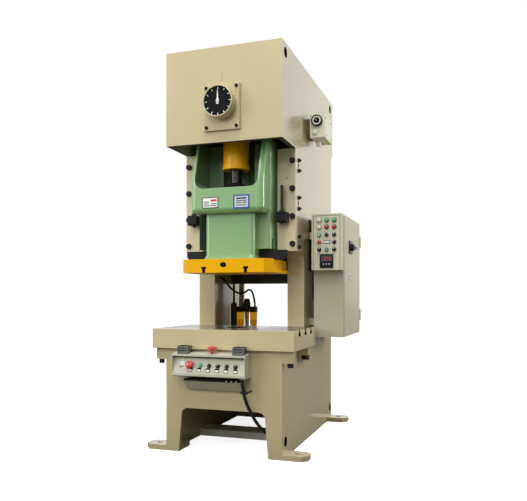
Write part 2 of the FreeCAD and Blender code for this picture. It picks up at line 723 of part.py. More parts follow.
def connecting_rod():
    """Rod with a lipped, threaded barrel below and the lower half of the big end above."""
    barrel = turned([(0, ROD_BASE), (ROD_LIP_R, ROD_BASE), (ROD_LIP_R, ROD_BASE + 34), (ROD_BARREL_R, ROD_BASE + 39),
                     (ROD_BARREL_R, 2150), (66, 2206), (0, 2206)], Vector(0, PRESS_Y, 0), Z_AXIS)
    neck = prism_y([(-74, 2120, 8), (74, 2120, 8), (210, EYE_Z - 60, 20), (210, EYE_Z), (-140, EYE_Z),
                    (-140, EYE_Z - 60, 20)], ROD_EYE_Y)
    thread = rod_z(SCREW_R + RUNNING_FIT, (ROD_BASE - 1, ROD_BASE + 140), 0, PRESS_Y)
    return cut_all(fused([barrel, neck]), [pin_clearance(), thread])


def rod_cap():
    """Upper half of the big end, bolted down on the rod."""
    top = EYE_Z + 118
    cap = prism_y([(-140, EYE_Z), (210, EYE_Z), (210, top, 70), (-140, top, 70)], ROD_EYE_Y)
    return cap.cut(pin_clearance())


def crankshaft():
    """Forged crank: front spindle, two journals, webs and the pin at the top of its circle."""
    front_web, rear_web = WEB_Y
    gear_end = GEAR_Y[1] + 30
    solids = [
        rod_y(SPINDLE_R, (DIAL_FACE_Y - 6, 1), 0, CRANK_Z),
        rod_y(CRANK_JOURNAL_R, (0, front_web[0] + 2), 0, CRANK_Z),
        rod_y(CRANK_PIN_R, (front_web[0], rear_web[1]), 0, EYE_Z),
        rod_y(CRANK_JOURNAL_R, (rear_web[1] - 2, 575), 0, CRANK_Z),
        rod_y(CRANK_TAIL_R, (574, gear_end), 0, CRANK_Z),
    ]
    for y in WEB_Y:
        solids.append(prism_y([(-92, CRANK_Z - 78, 60), (92, CRANK_Z - 78, 60), (92, EYE_Z + 86, 70),
                               (-92, EYE_Z + 86, 70)], y))
    return fused(solids)


def shaft_bearings():
    """Bronze bushes of the crankshaft and of the pinion shaft."""
    bushes = []
    for y in (FRONT_BEARING_Y, REAR_BEARING_Y):
        bushes.append(ring_y(BUSH_R, CRANK_JOURNAL_R + RUNNING_FIT, y, 0, CRANK_Z))
    for y in PINION_BEARINGS_Y:
        bushes.append(ring_y(PINION_BUSH_R, PINION_SHAFT_R + RUNNING_FIT, y, 0, PINION_Z))
    return Part.makeCompound(bushes)


def involute(angle):
    """Involute of an angle in radians."""
    return math.tan(angle) - angle


def gear_outline(teeth, phase):
    """Corners (x, z) of a spur gear's teeth, with flanks drawn through points of the involute."""
    pitch_r = GEAR_MODULE * teeth / 2
    base_r = pitch_r * math.cos(PRESSURE_ANGLE)
    tip_r = pitch_r + 0.85 * GEAR_MODULE
    root_r = pitch_r - 1.2 * GEAR_MODULE
    half = math.pi / (2 * teeth) - BACKLASH / (2 * pitch_r)

    def half_angle(radius):
        """Half the tooth's thickness, as an angle, at a radius."""
        slope = math.acos(min(1.0, base_r / radius))
        return half + involute(PRESSURE_ANGLE) - involute(slope)

    if base_r > root_r:
        radii = (base_r + 0.4, pitch_r, tip_r)
        flank = [(root_r, half_angle(base_r) * 0.98)] + [(radius, half_angle(radius)) for radius in radii]
    else:
        flank = [(radius, half_angle(radius)) for radius in (root_r, tip_r)]
    corners = []
    for tooth in range(teeth):
        centre = phase + 2 * math.pi * tooth / teeth
        for radius, spread in flank:
            corners.append((radius * math.cos(centre - spread), radius * math.sin(centre - spread)))
        for radius, spread in reversed(flank):
            corners.append((radius * math.cos(centre + spread), radius * math.sin(centre + spread)))
    return corners


def toothed_wheel(teeth, phase, y, z):
    """Spur gear blank with its teeth, about an axis along Y at a height."""
    wheel = prism_y(gear_outline(teeth, phase), y)
    wheel.translate(Z_AXIS * z)
    return wheel


def web_holes(count, radius, circle, y, z):
    """Cutters of the round holes in a wheel's web, on a circle about a height."""
    holes = []
    for step in range(count):
        angle = 2 * math.pi * (step + 0.5) / count
        holes.append(rod_y(radius, y, circle * math.cos(angle), z + circle * math.sin(angle)))
    return holes


def bull_gear():
    """Main gear on the crankshaft: toothed rim, thin web with round holes, long hub."""
    front, rear = GEAR_Y
    cutters = web_holes(5, 42, 172, GEAR_Y, CRANK_Z)
    for y in ((front - 1, front + WEB_RECESS), (rear - WEB_RECESS, rear + 1)):
        cutters.append(ring_y(232, 112, y, 0, CRANK_Z))
    cutters.append(rod_y(CRANK_TAIL_R, (front - 1, rear + 1), 0, CRANK_Z))
    return cut_all(toothed_wheel(GEAR_TEETH, 0.0, GEAR_Y, CRANK_Z), cutters)


def pinion_shaft():
    """Pinion cut on its shaft, with the seats for the clutch hub and the flywheel bearings."""
    toothed = toothed_wheel(PINION_TEETH, math.pi / PINION_TEETH, (GEAR_Y[0] - 5, GEAR_Y[1] + 5), PINION_Z)
    return fused([toothed, rod_y(PINION_SHAFT_R, (490, FLYWHEEL_Y[1] + 12), 0, PINION_Z)])


def clutch_hub():
    """Pneumatic clutch and brake pack, clamped on the pinion shaft beside the flywheel."""
    return turned([(PINION_SHAFT_R, 1178), (96, 1178), (96, 1186), (150, 1186), (150, 1198), (120, 1198),
                   (120, 1206), (150, 1206), (150, 1218), (96, 1226), (PINION_SHAFT_R, 1226)],
                  Vector(0, 0, PINION_Z), Y_AXIS)


def belt_starts():
    """Front edge of each belt's groove, spread evenly over the flywheel's width."""
    first = (sum(FLYWHEEL_Y) - BELT_PITCH * BELT_COUNT) / 2
    return [first + BELT_PITCH * belt for belt in range(BELT_COUNT)]


def groove_profile(rim):
    """Corners of the belt grooves in a rim of the given radius."""
    land = 3
    flank = 7
    corners = []
    for start in belt_starts():
        end = start + BELT_PITCH
        corners += [(rim, start + land), (rim - GROOVE_DEPTH, start + land + flank),
                    (rim - GROOVE_DEPTH, end - land - flank), (rim, end - land)]
    return corners


def flywheel():
    """Cast flywheel with belt grooves, dished sides and round holes in its web."""
    front, rear = FLYWHEEL_Y
    bore = PINION_SHAFT_R + RUNNING_FIT
    hub = 88
    rim_inner = 268
    profile = [(bore, front), (hub, front), (hub, front + FLYWHEEL_DISH), (rim_inner, front + FLYWHEEL_DISH),
               (rim_inner, front), (FLYWHEEL_R, front)]
    profile += groove_profile(FLYWHEEL_R)
    profile += [(FLYWHEEL_R, rear), (rim_inner, rear), (rim_inner, rear - FLYWHEEL_DISH),
                (hub, rear - FLYWHEEL_DISH), (hub, rear), (bore, rear)]
    wheel = turned(profile, Vector(0, 0, PINION_Z), Y_AXIS)
    return cut_all(wheel, web_holes(4, 50, 178, (front + 40, rear - 40), PINION_Z))


def motor_pulley():
    """Small belt pulley with the motor's shaft end."""
    grooves = groove_profile(MOTOR_PULLEY_R)
    start = grooves[0][1] - 9
    end = grooves[-1][1] + 9
    profile = [(0, REAR_WALL_Y), (21, REAR_WALL_Y), (21, start), (MOTOR_PULLEY_R, start)]
    profile += grooves + [(MOTOR_PULLEY_R, end), (0, end)]
    return turned(profile, Vector(0, 0, MOTOR_Z), Y_AXIS)


def belt_loop(large, small, y):
    """Closed band face round both pulleys, at a radius on each, pulled to a belt's width."""
    lean = math.asin((large - small) / (PINION_Z - MOTOR_Z))
    upper = Vector(large * math.cos(lean), y[0], PINION_Z - large * math.sin(lean))
    lower = Vector(small * math.cos(lean), y[0], MOTOR_Z - small * math.sin(lean))
    upper_left = Vector(-upper.x, y[0], upper.z)
    lower_left = Vector(-lower.x, y[0], lower.z)
    loop = Part.Wire([
        Part.Arc(upper, Vector(0, y[0], PINION_Z + large), upper_left).toShape(),
        Part.makeLine(upper_left, lower_left),
        Part.Arc(lower_left, Vector(0, y[0], MOTOR_Z - small), lower).toShape(),
        Part.makeLine(lower, upper),
    ])
    return Part.Face(loop).extrude(Y_AXIS * (y[1] - y[0]))


def v_belts():
    """Belts from the motor to the flywheel, seated in the grooves."""
    proud = 3
    depth = 12
    belts = []
    for start in belt_starts():
        middle = start + BELT_PITCH / 2
        y = (middle - BELT_WIDTH / 2, middle + BELT_WIDTH / 2)
        outer = belt_loop(FLYWHEEL_R + proud, MOTOR_PULLEY_R + proud, y)
        belts.append(outer.cut(belt_loop(FLYWHEEL_R - depth, MOTOR_PULLEY_R - depth, y)))
    return Part.makeCompound(belts)


def motor():
    """Main motor against the rear wall, with cooling ribs, feet and terminal box."""
    rear = REAR_WALL_Y - 1
    front = rear - MOTOR_LENGTH
    body = turned([(0, front), (112, front), (122, front + 12), (122, front + 74), (116, front + 80),
                   (116, rear - 34), (122, rear - 34), (122, rear - 14), (0, rear - 14)],
                  Vector(0, 0, MOTOR_Z), Y_AXIS)
    solids = [body, rod_y(60, (rear - 15, rear), 0, MOTOR_Z)]
    for step in range(12):
        rib = box((-3, 3), (front + 92, rear - 52), (100, 130))
        rib.rotate(Vector(0, 0, 0), Y_AXIS, 30.0 * step + 15)
        rib.translate(Z_AXIS * MOTOR_Z)
        solids.append(rib)
    base_z = THROAT_TOP + FRONT_PLATE
    solids.append(box((-120, 120), (front + 110, rear - 70), (base_z, base_z + 18)))
    for side in (-1, 1):
        solids.append(prism_y([(side * 30, base_z), (side * 112, base_z), (side * 98, MOTOR_Z - 40),
                               (side * 40, MOTOR_Z - 60)], (front + 120, rear - 80)))
    solids.append(box((-58, 58), (front + 190, front + 300), (MOTOR_Z + 100, MOTOR_Z + 172)))
    return fused(solids)


# ---------------------------------------------------------------- knock-out
def knockout_bar():
    """Flat bar through the slide with bevelled lower ends."""
    low = FLANGE_TOP
    bevel = 26
    return prism_y([(-BAR_HALF, low + bevel), (-BAR_HALF + bevel, low), (BAR_HALF - bevel, low),
                    (BAR_HALF, low + bevel), (BAR_HALF, low + BAR_HEIGHT), (-BAR_HALF, low + BAR_HEIGHT)],
                   (BAR_SLOT_Y[0] + 5, BAR_SLOT_Y[1] - 5))


def knockout_bracket():
    """Right bracket on the column that carries the stop screw."""
    base, top = BRACKET_Z
    block = prism_x([(240, base + 8), (248, base), (COLUMN_Y, base), (COLUMN_Y, top), (240, top)], BRACKET_X)
    return block.cut(shank(STOP_R, top - base + 2, Vector(STOP_X, STOP_Y, base - 1), Z_AXIS))


def knockout_screw():
    """Stop screw of the right bracket, run up out of the bar's way, with its lock nut."""
    base, top = BRACKET_Z
    foot_z = base - 14
    screw = shank(STOP_R - 0.2, 1812 - foot_z, Vector(STOP_X, STOP_Y, foot_z), Z_AXIS)
    nut = hexagon(36, 15, Vector(STOP_X, STOP_Y, top), Z_AXIS)
    return fused([screw, nut])


# ---------------------------------------------------------------- covers
def rear_top_cover():
    """Folded sheet cover over the top of the rear opening."""
    y = (FRAME_DEPTH, FRAME_DEPTH + COVER_DEPTH)
    outer = prism_x([(y[0], COVER_BASE), (y[0], FRAME_TOP), (y[1], FRAME_TOP - 8), (y[1], COVER_BASE + 8)],
                    (-FRAME_HALF, FRAME_HALF))
    inner = prism_x([(y[0] - 1, COVER_BASE + SHEET), (y[0] - 1, FRAME_TOP - SHEET),
                     (y[1] - SHEET, FRAME_TOP - 8 - SHEET), (y[1] - SHEET, COVER_BASE + 8 + SHEET)],
                    (-FRAME_HALF + SHEET, FRAME_HALF - SHEET))
    return outer.cut(inner)


def rear_guard():
    """Belt guard plate between the side plates, with ventilation slots."""
    y = (FRAME_DEPTH - 14, FRAME_DEPTH - 14 + SHEET)
    plate = box((-INNER, INNER), y, (1371, 2668))
    slots = []
    for centre in (-190, 190):
        for row in range(GUARD_SLOTS):
            z = 1480 + 60 * row
            slots.append(box((centre - 110, centre + 110), (y[0] - 1, y[1] + 1), (z, z + 14)))
    return cut_all(plate, slots)


# ---------------------------------------------------------------- crank angle dial
def dial_plate():
    """Square mounting plate of the dial, proud of the crown."""
    plate = prism_y(rounded_rectangle((-DIAL_PLATE_HALF, DIAL_PLATE_HALF), DIAL_PLATE_Z, 6), (-DIAL_PLATE_THICK, 0))
    return plate.cut(rod_y(DIAL_BORE_R, (-DIAL_PLATE_THICK - 1, 1), 0, CRANK_Z))


def dial_housing():
    """Round barrel of the dial with a raised rim."""
    rim_y = DIAL_FACE_Y - 13
    inner = DIAL_HOUSING_R - 10
    return turned([(DIAL_BORE_R, -DIAL_PLATE_THICK), (DIAL_HOUSING_R, -DIAL_PLATE_THICK),
                   (DIAL_HOUSING_R, rim_y + 3), (DIAL_HOUSING_R - 3, rim_y), (inner, rim_y),
                   (inner, DIAL_FACE_Y + 2), (DIAL_BORE_R, DIAL_FACE_Y + 2)], Vector(0, 0, CRANK_Z), Y_AXIS)


def dial_face():
    """Black disc that carries the degree marks."""
    return ring_y(DIAL_HOUSING_R - 10, DIAL_BORE_R, (DIAL_FACE_Y, DIAL_FACE_Y + 2), 0, CRANK_Z)


def dial_pointer():
    """Tapered pointer on the crank's front spindle, upright at the top of the stroke."""
    y = (DIAL_FACE_Y - 6, DIAL_FACE_Y - 3)
    blade = prism_y([(-9, 0), (-8, -26), (8, -26), (9, 0), (2.5, 74), (-2.5, 74)], y)
    blade.translate(Z_AXIS * CRANK_Z)
    hub = rod_y(19, (DIAL_FACE_Y - 8, DIAL_FACE_Y - 3), 0, CRANK_Z)
    return fused([blade, hub]).cut(rod_y(SPINDLE_R, (DIAL_FACE_Y - 6, DIAL_FACE_Y), 0, CRANK_Z))


# ---------------------------------------------------------------- air supply
def gauge_box():
    """Air control box on the right side plate, on two stand-off bars."""
    solids = [prism_y(rounded_rectangle(GAUGE_BOX_X, GAUGE_BOX_Z, 6), GAUGE_BOX_Y)]
    for y in (640.0, 800.0):
        solids.append(box((FRAME_HALF, GAUGE_BOX_X[0] + 2), (y - 12, y + 12), (2230, 2350)))
    return fused(solids)


def pressure_gauge():
    """Round gauge on the front of the air box, with a stepped bezel."""
    front = GAUGE_BOX_Y[0]
    return turned([(0, front), (38, front), (42, front - 6), (42, front - 22), (33, front - 24),
                   (33, front - 18), (0, front - 18)], Vector(GAUGE_X, 0, GAUGE_Z), Y_AXIS)


def regulator_knob():
    """Pressure setting knob under the air box."""
    top = GAUGE_BOX_Z[0] - 0.2
    return turned([(0, top - 44), (18, top - 44), (18, top - 14), (10, top - 10), (10, top), (0, top)],
                  Vector(KNOB_X, KNOB_Y, 0), Z_AXIS)


def air_pipe():
    """Slim air receiver on the rear seat, with its riser to the crown floor."""
    neck = 985
    return turned([(0, SEAT_TOP - 10), (RECEIVER_R, SEAT_TOP - 10), (RECEIVER_R, neck), (9, neck + 14),
                   (9, THROAT_TOP), (0, THROAT_TOP)], Vector(RECEIVER_X, RECEIVER_Y, 0), Z_AXIS)


def air_bowls():
    """Transparent bowls of the filter and the lubricator, drawn in towards the bottom."""
    base, top = BOWL_Z
    profile = [(0, base), (BOWL_R - 10, base), (BOWL_R - 2, base + 10), (BOWL_R, top), (0, top)]
    return Part.makeCompound([turned(profile, Vector(x, AIR_UNIT_Y, 0), Z_AXIS) for x in (FILTER_X, LUBRICATOR_X)])


def filter_regulator():
    """Heads of the filter and the lubricator, regulator with its drain between them, hanger strip."""
    y = AIR_UNIT_Y
    top = BOWL_Z[1]
    solids = [box((x - 28, x + 28), (y - 29, y + 22), (top, top + 47)) for x in (FILTER_X, LUBRICATOR_X)]
    solids.append(box((FILTER_X, LUBRICATOR_X), (y - 16, y + 16), (top + 9, top + 39)))
    solids.append(turned([(0, BOWL_Z[0]), (16, BOWL_Z[0]), (20, top + 3), (29, top + 3), (29, top + 75),
                          (20, top + 113), (0, top + 113)], Vector(REGULATOR_X, y, 0), Z_AXIS))
    solids.append(box((FILTER_X - 20, FILTER_X + 20), (y + 20, REAR_WALL_Y + 8), (top + 10, REAR_WALL_BASE)))
    return fused(solids)


def air_hose():
    """Hose from the left side plate to the lubricator's head."""
    return bent_tube(HOSE_ROUTE, HOSE_R)


# ---------------------------------------------------------------- operator console
def panel_point(z):
    """Y of the sloping console panel at a height."""
    share = (PANEL_TOP_Z - z) / (PANEL_TOP_Z - PANEL_BASE_Z)
    return PANEL_TOP_Y + (PANEL_BASE_Y - PANEL_TOP_Y) * share


def panel_normal():
    """Outward direction of the sloping console panel."""
    normal = Vector(0, -(PANEL_TOP_Z - PANEL_BASE_Z), PANEL_TOP_Y - PANEL_BASE_Y)
    normal.normalize()
    return normal


def panel_seat(index):
    """Point on the console panel where a control stands."""
    return Vector(CONSOLE_CONTROLS_X[index], panel_point(CONSOLE_BUTTON_Z), CONSOLE_BUTTON_Z)


def console_section(inset):
    """Side outline of the console's sheet-metal box, offset inwards by a sheet."""
    return [
        (-inset, CONSOLE_Z[0] + inset), (-96 + inset, CONSOLE_Z[0] + inset),
        (PANEL_BASE_Y + inset, PANEL_BASE_Z), (PANEL_TOP_Y + inset, PANEL_TOP_Z - inset),
        (PANEL_TOP_Y + inset, 668 - inset), (-inset, CONSOLE_Z[1] - inset),
    ]


def console_shell():
    """Folded console: sloped panel under a hood, two end cheeks, open at nothing but its holes."""
    left, right = CONSOLE_X
    front = -CONSOLE_DEPTH
    base, top = CONSOLE_Z
    body = prism_x(console_section(0), CONSOLE_X)
    hood = prism_x([(0, top - 3), (0, top), (front, top - 13), (front, top - 26), (front + SHEET, top - 26),
                    (front + SHEET, top - 17)], CONSOLE_X)
    cheek = [(0, base), (-100, base), (front, base + 6), (front, top - 13), (0, top)]
    lip = prism_x([(-96, base), (front, base + 6), (front, base + 22), (-100, base + 18)], CONSOLE_X)
    cheeks = [prism_x(cheek, (left, left + SHEET)), prism_x(cheek, (right - SHEET, right))]
    cutters = [prism_x(console_section(CONSOLE_SHEET), (left + SHEET, right - SHEET))]
    for x in PALM_X + (ESTOP_X,):
        cutters.append(rod_z(CONTROL_HOLE_R, (650, top + 6), x, TOP_CONTROL_Y))
    normal = panel_normal()
    for index in range(len(CONSOLE_CONTROLS_X)):
        cutters.append(Part.makeCylinder(CONTROL_HOLE_R, 20, panel_seat(index) - normal * 12, normal))
    return cut_all(fused([body, hood, lip] + cheeks), cutters)


def console_start():
    """Green push button of the console with a stem through the panel."""
    return turned([(0, -8), (STEM_R, -8), (STEM_R, 5), (13, 5), (13, 12), (0, 12)], panel_seat(1), panel_normal())


def console_stop():
    """Red mushroom stop button of the console."""
    return turned([(0, -8), (STEM_R, -8), (STEM_R, 8), (26, 16), (24, 26), (0, 31)], panel_seat(0), panel_normal())


def console_selector(index):
    """Rotary switch with a raised grip bar."""
    grip = box((-13, 13), (-4, 4), (10, 19))
    knob = fused([turned([(0, -8), (STEM_R, -8), (STEM_R, 5), (14, 5), (14, 11), (0, 11)], Vector(), Z_AXIS), grip])
    knob.Placement = FreeCAD.Placement(panel_seat(index), FreeCAD.Rotation(Z_AXIS, panel_normal()))
    return knob


def console_bracket():
    """Folded trough that carries the console on the frame."""
    top = CONSOLE_Z[0] - 16
    solids = [prism_x([(0, top), (-92, top), (-92, top - 12), (-26, top - 76), (0, top - 76)], (-240.0, 160.0))]
    for x in (-200.0, 140.0):
        solids.append(box((x - 16, x + 16), (-30, 0), (top - 8, CONSOLE_Z[0])))
    return fused(solids)


def palm_guards():
    """Two square shrouds round the palm buttons, open at the top, standing on the hood."""
    half = 39.0
    wall = 4.0
    hood_line = prism_x([(0, 681), (0, CONSOLE_Z[1]), (-CONSOLE_DEPTH, 671), (-CONSOLE_DEPTH, 600)], (-half, half))
    y = (TOP_CONTROL_Y - 32, TOP_CONTROL_Y + 32)
    z = (CONSOLE_Z[1] - 13, 725.0)
    outer = box((-half, half), y, z)
    hollow = box((wall - half, half - wall), (y[0] + wall, y[1] - wall), (z[0] - 1, z[1] + 1))
    guard = cut_all(outer, [hollow, hood_line])
    return Part.makeCompound([guard.translated(X_AXIS * x) for x in PALM_X])


def palm_button(x):
    """Domed palm button on its stem."""
    return turned([(0, 662), (STEM_R, 662), (STEM_R, 698), (27, 704), (27, 709), (0, 718)],
                  Vector(x, TOP_CONTROL_Y, 0), Z_AXIS)


def console_estop():
    """Mushroom emergency stop on top of the console."""
    return turned([(0, 662), (STEM_R, 662), (STEM_R, 700), (34, 709), (32, 720), (0, 728)],
                  Vector(ESTOP_X, TOP_CONTROL_Y, 0), Z_AXIS)


def conduit():
    """Flexible conduit from the console to the inside of the right leg, with its end fittings."""
    start = Vector(*CONDUIT_ROUTE[0])
    end = Vector(*CONDUIT_ROUTE[-1])
    return fused([bent_tube(CONDUIT_ROUTE, CONDUIT_R), hexagon(30, 12, start, -Z_AXIS), hexagon(30, 12, end, -X_AXIS)])


# ---------------------------------------------------------------- control cabinet
def cabinet_section(inset):
    """Side outline of the cabinet with the operator box standing forward at the top."""
    base, step = CABINET_Z
    return [
        (CABINET_FRONT + inset, base + inset), (CABINET_FRONT + inset, step + inset),
        (PANEL_FRONT + inset, step + inset), (PANEL_FRONT + inset, PANEL_TOP - inset),
        (CABINET_REAR - inset, PANEL_TOP - inset), (CABINET_REAR - inset, base + inset),
    ]


def hinge_posts():
    """Pins and fixed knuckles of the door's hinges, with their leaves on the cabinet."""
    solids = []
    for z in HINGE_Z:
        solids.append(rod_z(HINGE_PIN_R, (z - 44, z + 44), HINGE_X, HINGE_Y))
        for level in ((z - 44, z - 31), (z + 31, z + 44)):
            solids.append(rod_z(HINGE_R, level, HINGE_X, HINGE_Y))
            solids.append(box((CABINET_X[1], HINGE_X), (HINGE_Y - 2, HINGE_Y + 5), level))
    return solids


def cabinet_shell():
    """Welded sheet cabinet with its door opening to the right, on two bars from the frame."""
    left, right = CABINET_X
    outer = prism_x(cabinet_section(0), CABINET_X)
    inner = prism_x(cabinet_section(CABINET_SHEET), (left + CABINET_SHEET, right - CABINET_SHEET))
    edge = 14
    doorway = box((right - CABINET_SHEET - 1, right + 1), (DOOR_Y[0] + edge, DOOR_Y[1] - edge),
                  (DOOR_Z[0] + edge, DOOR_Z[1] - edge))
    solids = [cut_all(outer, [inner, doorway])] + hinge_posts()
    for z in (860.0, 1500.0):
        solids.append(box((FRAME_HALF, left + 1), (700, 1160), (z - 25, z + 25)))
    holes = []
    for column, row in OPERATOR_CONTROLS:
        holes.append(rod_y(CONTROL_HOLE_R, (PANEL_FRONT - 1, PANEL_FRONT + CABINET_SHEET + 1),
                           CONTROL_COLUMNS[column], CONTROL_ROWS[row]))
    return cut_all(fused(solids), holes)


def cabinet_door():
    """Flat door with its hinge knuckles at the rear edge."""
    inside = CABINET_X[1] + DOOR_GAP
    solids = [prism_x(rounded_rectangle(DOOR_Y, DOOR_Z, 10), (inside, DOOR_FACE))]
    holes = [rod_x(8, (CABINET_X[1] - 1, DOOR_FACE + 1), ISOLATOR_Y, ISOLATOR_Z)]
    for z in HINGE_Z:
        solids.append(rod_z(HINGE_R, (z - 30, z + 30), HINGE_X, HINGE_Y))
        solids.append(box((inside, HINGE_X), (DOOR_Y[1] - 24, HINGE_Y), (z - 30, z + 30)))
        holes.append(rod_z(HINGE_PIN_R + RUNNING_FIT, (z - 31, z + 31), HINGE_X, HINGE_Y))
    return cut_all(fused(solids), holes)


def isolator_base():
    """Escutcheon of the main switch on the door."""
    plate = prism_x(rounded_rectangle((ISOLATOR_Y - 62, ISOLATOR_Y + 62), (ISOLATOR_Z - 48, ISOLATOR_Z + 48), 6),
                    (DOOR_FACE, DOOR_FACE + 8))
    return plate.cut(rod_x(8, (DOOR_FACE - 1, DOOR_FACE + 9), ISOLATOR_Y, ISOLATOR_Z))


def isolator_handle():
    """Rotary handle of the main switch, pointing to the rear."""
    x = DOOR_FACE + 8
    hub = rod_x(26, (x + 0.3, x + 22), ISOLATOR_Y, ISOLATOR_Z)
    spindle = rod_x(7.9, (x - 12, x + 1), ISOLATOR_Y, ISOLATOR_Z)
    lever = prism_x([(ISOLATOR_Y - 6, ISOLATOR_Z - 13), (ISOLATOR_Y + 118, ISOLATOR_Z - 9, 5),
                     (ISOLATOR_Y + 118, ISOLATOR_Z + 9, 5), (ISOLATOR_Y - 6, ISOLATOR_Z + 13)], (x + 6, x + 26))
    return fused([hub, spindle, lever])


def control_seat(column, row):
    """Point on the operator box where a control stands."""
    return Vector(CONTROL_COLUMNS[column], PANEL_FRONT, CONTROL_ROWS[row])


def operator_button(column, row):
    """Push button of the operator box."""
    return turned([(0, 12), (STEM_R, 12), (STEM_R, -5), (17, -5), (17, -14), (0, -14)],
                  control_seat(column, row), Y_AXIS)


def key_switch():
    """Key switch with its key bow."""
    seat = control_seat(1, 2)
    barrel = turned([(0, 12), (STEM_R, 12), (STEM_R, -1), (16, -1), (16, -12), (0, -12)], seat, Y_AXIS)
    bow = box((seat.x - 2, seat.x + 2), (PANEL_FRONT - 34, PANEL_FRONT - 10), (seat.z - 11, seat.z + 11))
    return fused([barrel, bow])


def operator_bezels():
    """Lamps, switch rings and the meter that stand still on the operator box."""
    outward = -Y_AXIS
    pieces = []
    for column in range(len(CONTROL_COLUMNS)):
        for row in (0, 1):
            seat = control_seat(column, row)
            ring = many_sided(18, 6, seat, outward, 16)
            lens = many_sided(15, 16, seat, outward, 12)
            pieces.append(fused([ring, lens]))
    for column, row in ((2, 2), (2, 3), (0, 4), (2, 4)):
        seat = control_seat(column, row)
        grip = box((seat.x - 4.5, seat.x + 4.5), (PANEL_FRONT - 22, PANEL_FRONT - 7), (seat.z - 15, seat.z + 15))
        pieces.append(fused([many_sided(17, 8, seat, outward, 16), grip]))
    pieces.append(many_sided(17, 12, control_seat(1, 4), outward, 16))
    x = CONTROL_COLUMNS[1]
    pieces.append(box((x - 25, x + 25), (PANEL_FRONT - 14, PANEL_FRONT), (1428, 1446)))
    return Part.makeCompound(pieces)


def panel_meter():
    """Counter with a sloped front bezel on the operator box."""
    base, top = 1252, 1351
    return prism_x([(PANEL_FRONT, base), (PANEL_FRONT, top), (PANEL_FRONT - 8, top), (PANEL_FRONT - 12, top - 6),
                    (PANEL_FRONT - 12, base + 6), (PANEL_FRONT - 8, base)], (534, 630))


# ---------------------------------------------------------------- nodes
def nodes():
    """Every separate piece of the press under its own name."""
    parts = {
        "frame_weldment": frame_weldment(),
        "front_gib_right": front_gib(),
        "front_gib_left": mirrored(front_gib()),
        "gib_bolts": gib_bolts(),
        "gib_adjusters": gib_adjusters(),
        "gib_liners": gib_liners(),
        "bolster": bolster(),
        "bolster_bolts": bolster_bolts(),
        "slide": slide(),
        "ball_seat_ring": ball_seat_ring(),
        "ball_screw": ball_screw(),
        "connecting_rod": connecting_rod(),
        "rod_cap": rod_cap(),
        "crankshaft": crankshaft(),
        "bull_gear": bull_gear(),
        "shaft_bearings": shaft_bearings(),
        "pinion_shaft": pinion_shaft(),
        "clutch_hub": clutch_hub(),
        "flywheel": flywheel(),
        "v_belts": v_belts(),
        "motor": motor(),
        "motor_pulley": motor_pulley(),
        "knockout_bar": knockout_bar(),
        "knockout_brackets": pair(knockout_bracket()),
        "knockout_screws": pair(knockout_screw()),
        "rear_top_cover": rear_top_cover(),
        "rear_guard": rear_guard(),
        "dial_plate": dial_plate(),
        "dial_housing": dial_housing(),
        "dial_face": dial_face(),
        "dial_pointer": dial_pointer(),
        "gauge_box": gauge_box(),
        "pressure_gauge": pressure_gauge(),
        "regulator_knob": regulator_knob(),
        "air_pipe": air_pipe(),
        "air_hose": air_hose(),
        "filter_regulator": filter_regulator(),
        "air_bowls": air_bowls(),
        "console_shell": console_shell(),
        "console_bracket": console_bracket(),
        "palm_guards": palm_guards(),
        "palm_button_left": palm_button(PALM_X[0]),
        "palm_button_right": palm_button(PALM_X[1]),
        "console_estop": console_estop(),
        "console_stop": console_stop(),
        "console_start": console_start(),
        "conduit": conduit(),
        "cabinet_shell": cabinet_shell(),
        "cabinet_door": cabinet_door(),
        "isolator_base": isolator_base(),
        "isolator_handle": isolator_handle(),
        "operator_bezels": operator_bezels(),
        "panel_meter": panel_meter(),
        "operator_start": operator_button(0, 2),
        "operator_stop": operator_button(0, 3),
        "key_switch": key_switch(),
    }
    for number in range(1, 5):
        parts["console_selector_" + str(number)] = console_selector(number + 1)
    return parts


def export(parts):
    """Writes each piece in the press's own frame."""
    os.makedirs("parts", exist_ok=True)
    shift = Vector(0, -(FRONT_BOLT_Y + BOLT_PITCH_Y / 2), 0)
    for name, shape in parts.items():
        placed = shape.translated(shift)
        placed.exportStep("parts/" + name + ".step")
        print(name, len(placed.Solids), placed.isValid(), round(placed.Volume / 1e6, 3))


export(nodes())
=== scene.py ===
"""Studio scene of the open-back C-frame stamping press: finishes, fittings, lamps and camera.

Forms are given in millimetres.
"""

import json
import logging
import math
from dataclasses import dataclass
from enum import Enum
from typing import Any, Callable, Sequence

import bmesh
import bpy
from mathutils import Matrix, Vector


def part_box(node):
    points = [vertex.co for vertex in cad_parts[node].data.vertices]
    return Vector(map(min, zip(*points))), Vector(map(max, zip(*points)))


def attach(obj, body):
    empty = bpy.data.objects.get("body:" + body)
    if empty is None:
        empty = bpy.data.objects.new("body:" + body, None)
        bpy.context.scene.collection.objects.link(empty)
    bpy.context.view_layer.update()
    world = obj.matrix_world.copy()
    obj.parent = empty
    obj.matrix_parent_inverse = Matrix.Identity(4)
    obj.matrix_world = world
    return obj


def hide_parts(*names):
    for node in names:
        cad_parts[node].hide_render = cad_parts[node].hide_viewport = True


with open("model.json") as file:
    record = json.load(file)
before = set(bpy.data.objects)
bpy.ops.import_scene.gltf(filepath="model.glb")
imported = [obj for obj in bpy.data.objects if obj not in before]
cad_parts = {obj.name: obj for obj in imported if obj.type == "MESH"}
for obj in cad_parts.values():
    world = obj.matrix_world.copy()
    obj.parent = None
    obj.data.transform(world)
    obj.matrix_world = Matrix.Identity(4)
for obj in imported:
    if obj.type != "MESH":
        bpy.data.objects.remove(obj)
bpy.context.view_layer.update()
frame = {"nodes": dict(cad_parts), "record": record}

LOG = logging.getLogger("press")
IMAGE_WIDTH, IMAGE_HEIGHT = 527, 501
Point = tuple[float, float, float]
Colour = tuple[float, float, float]
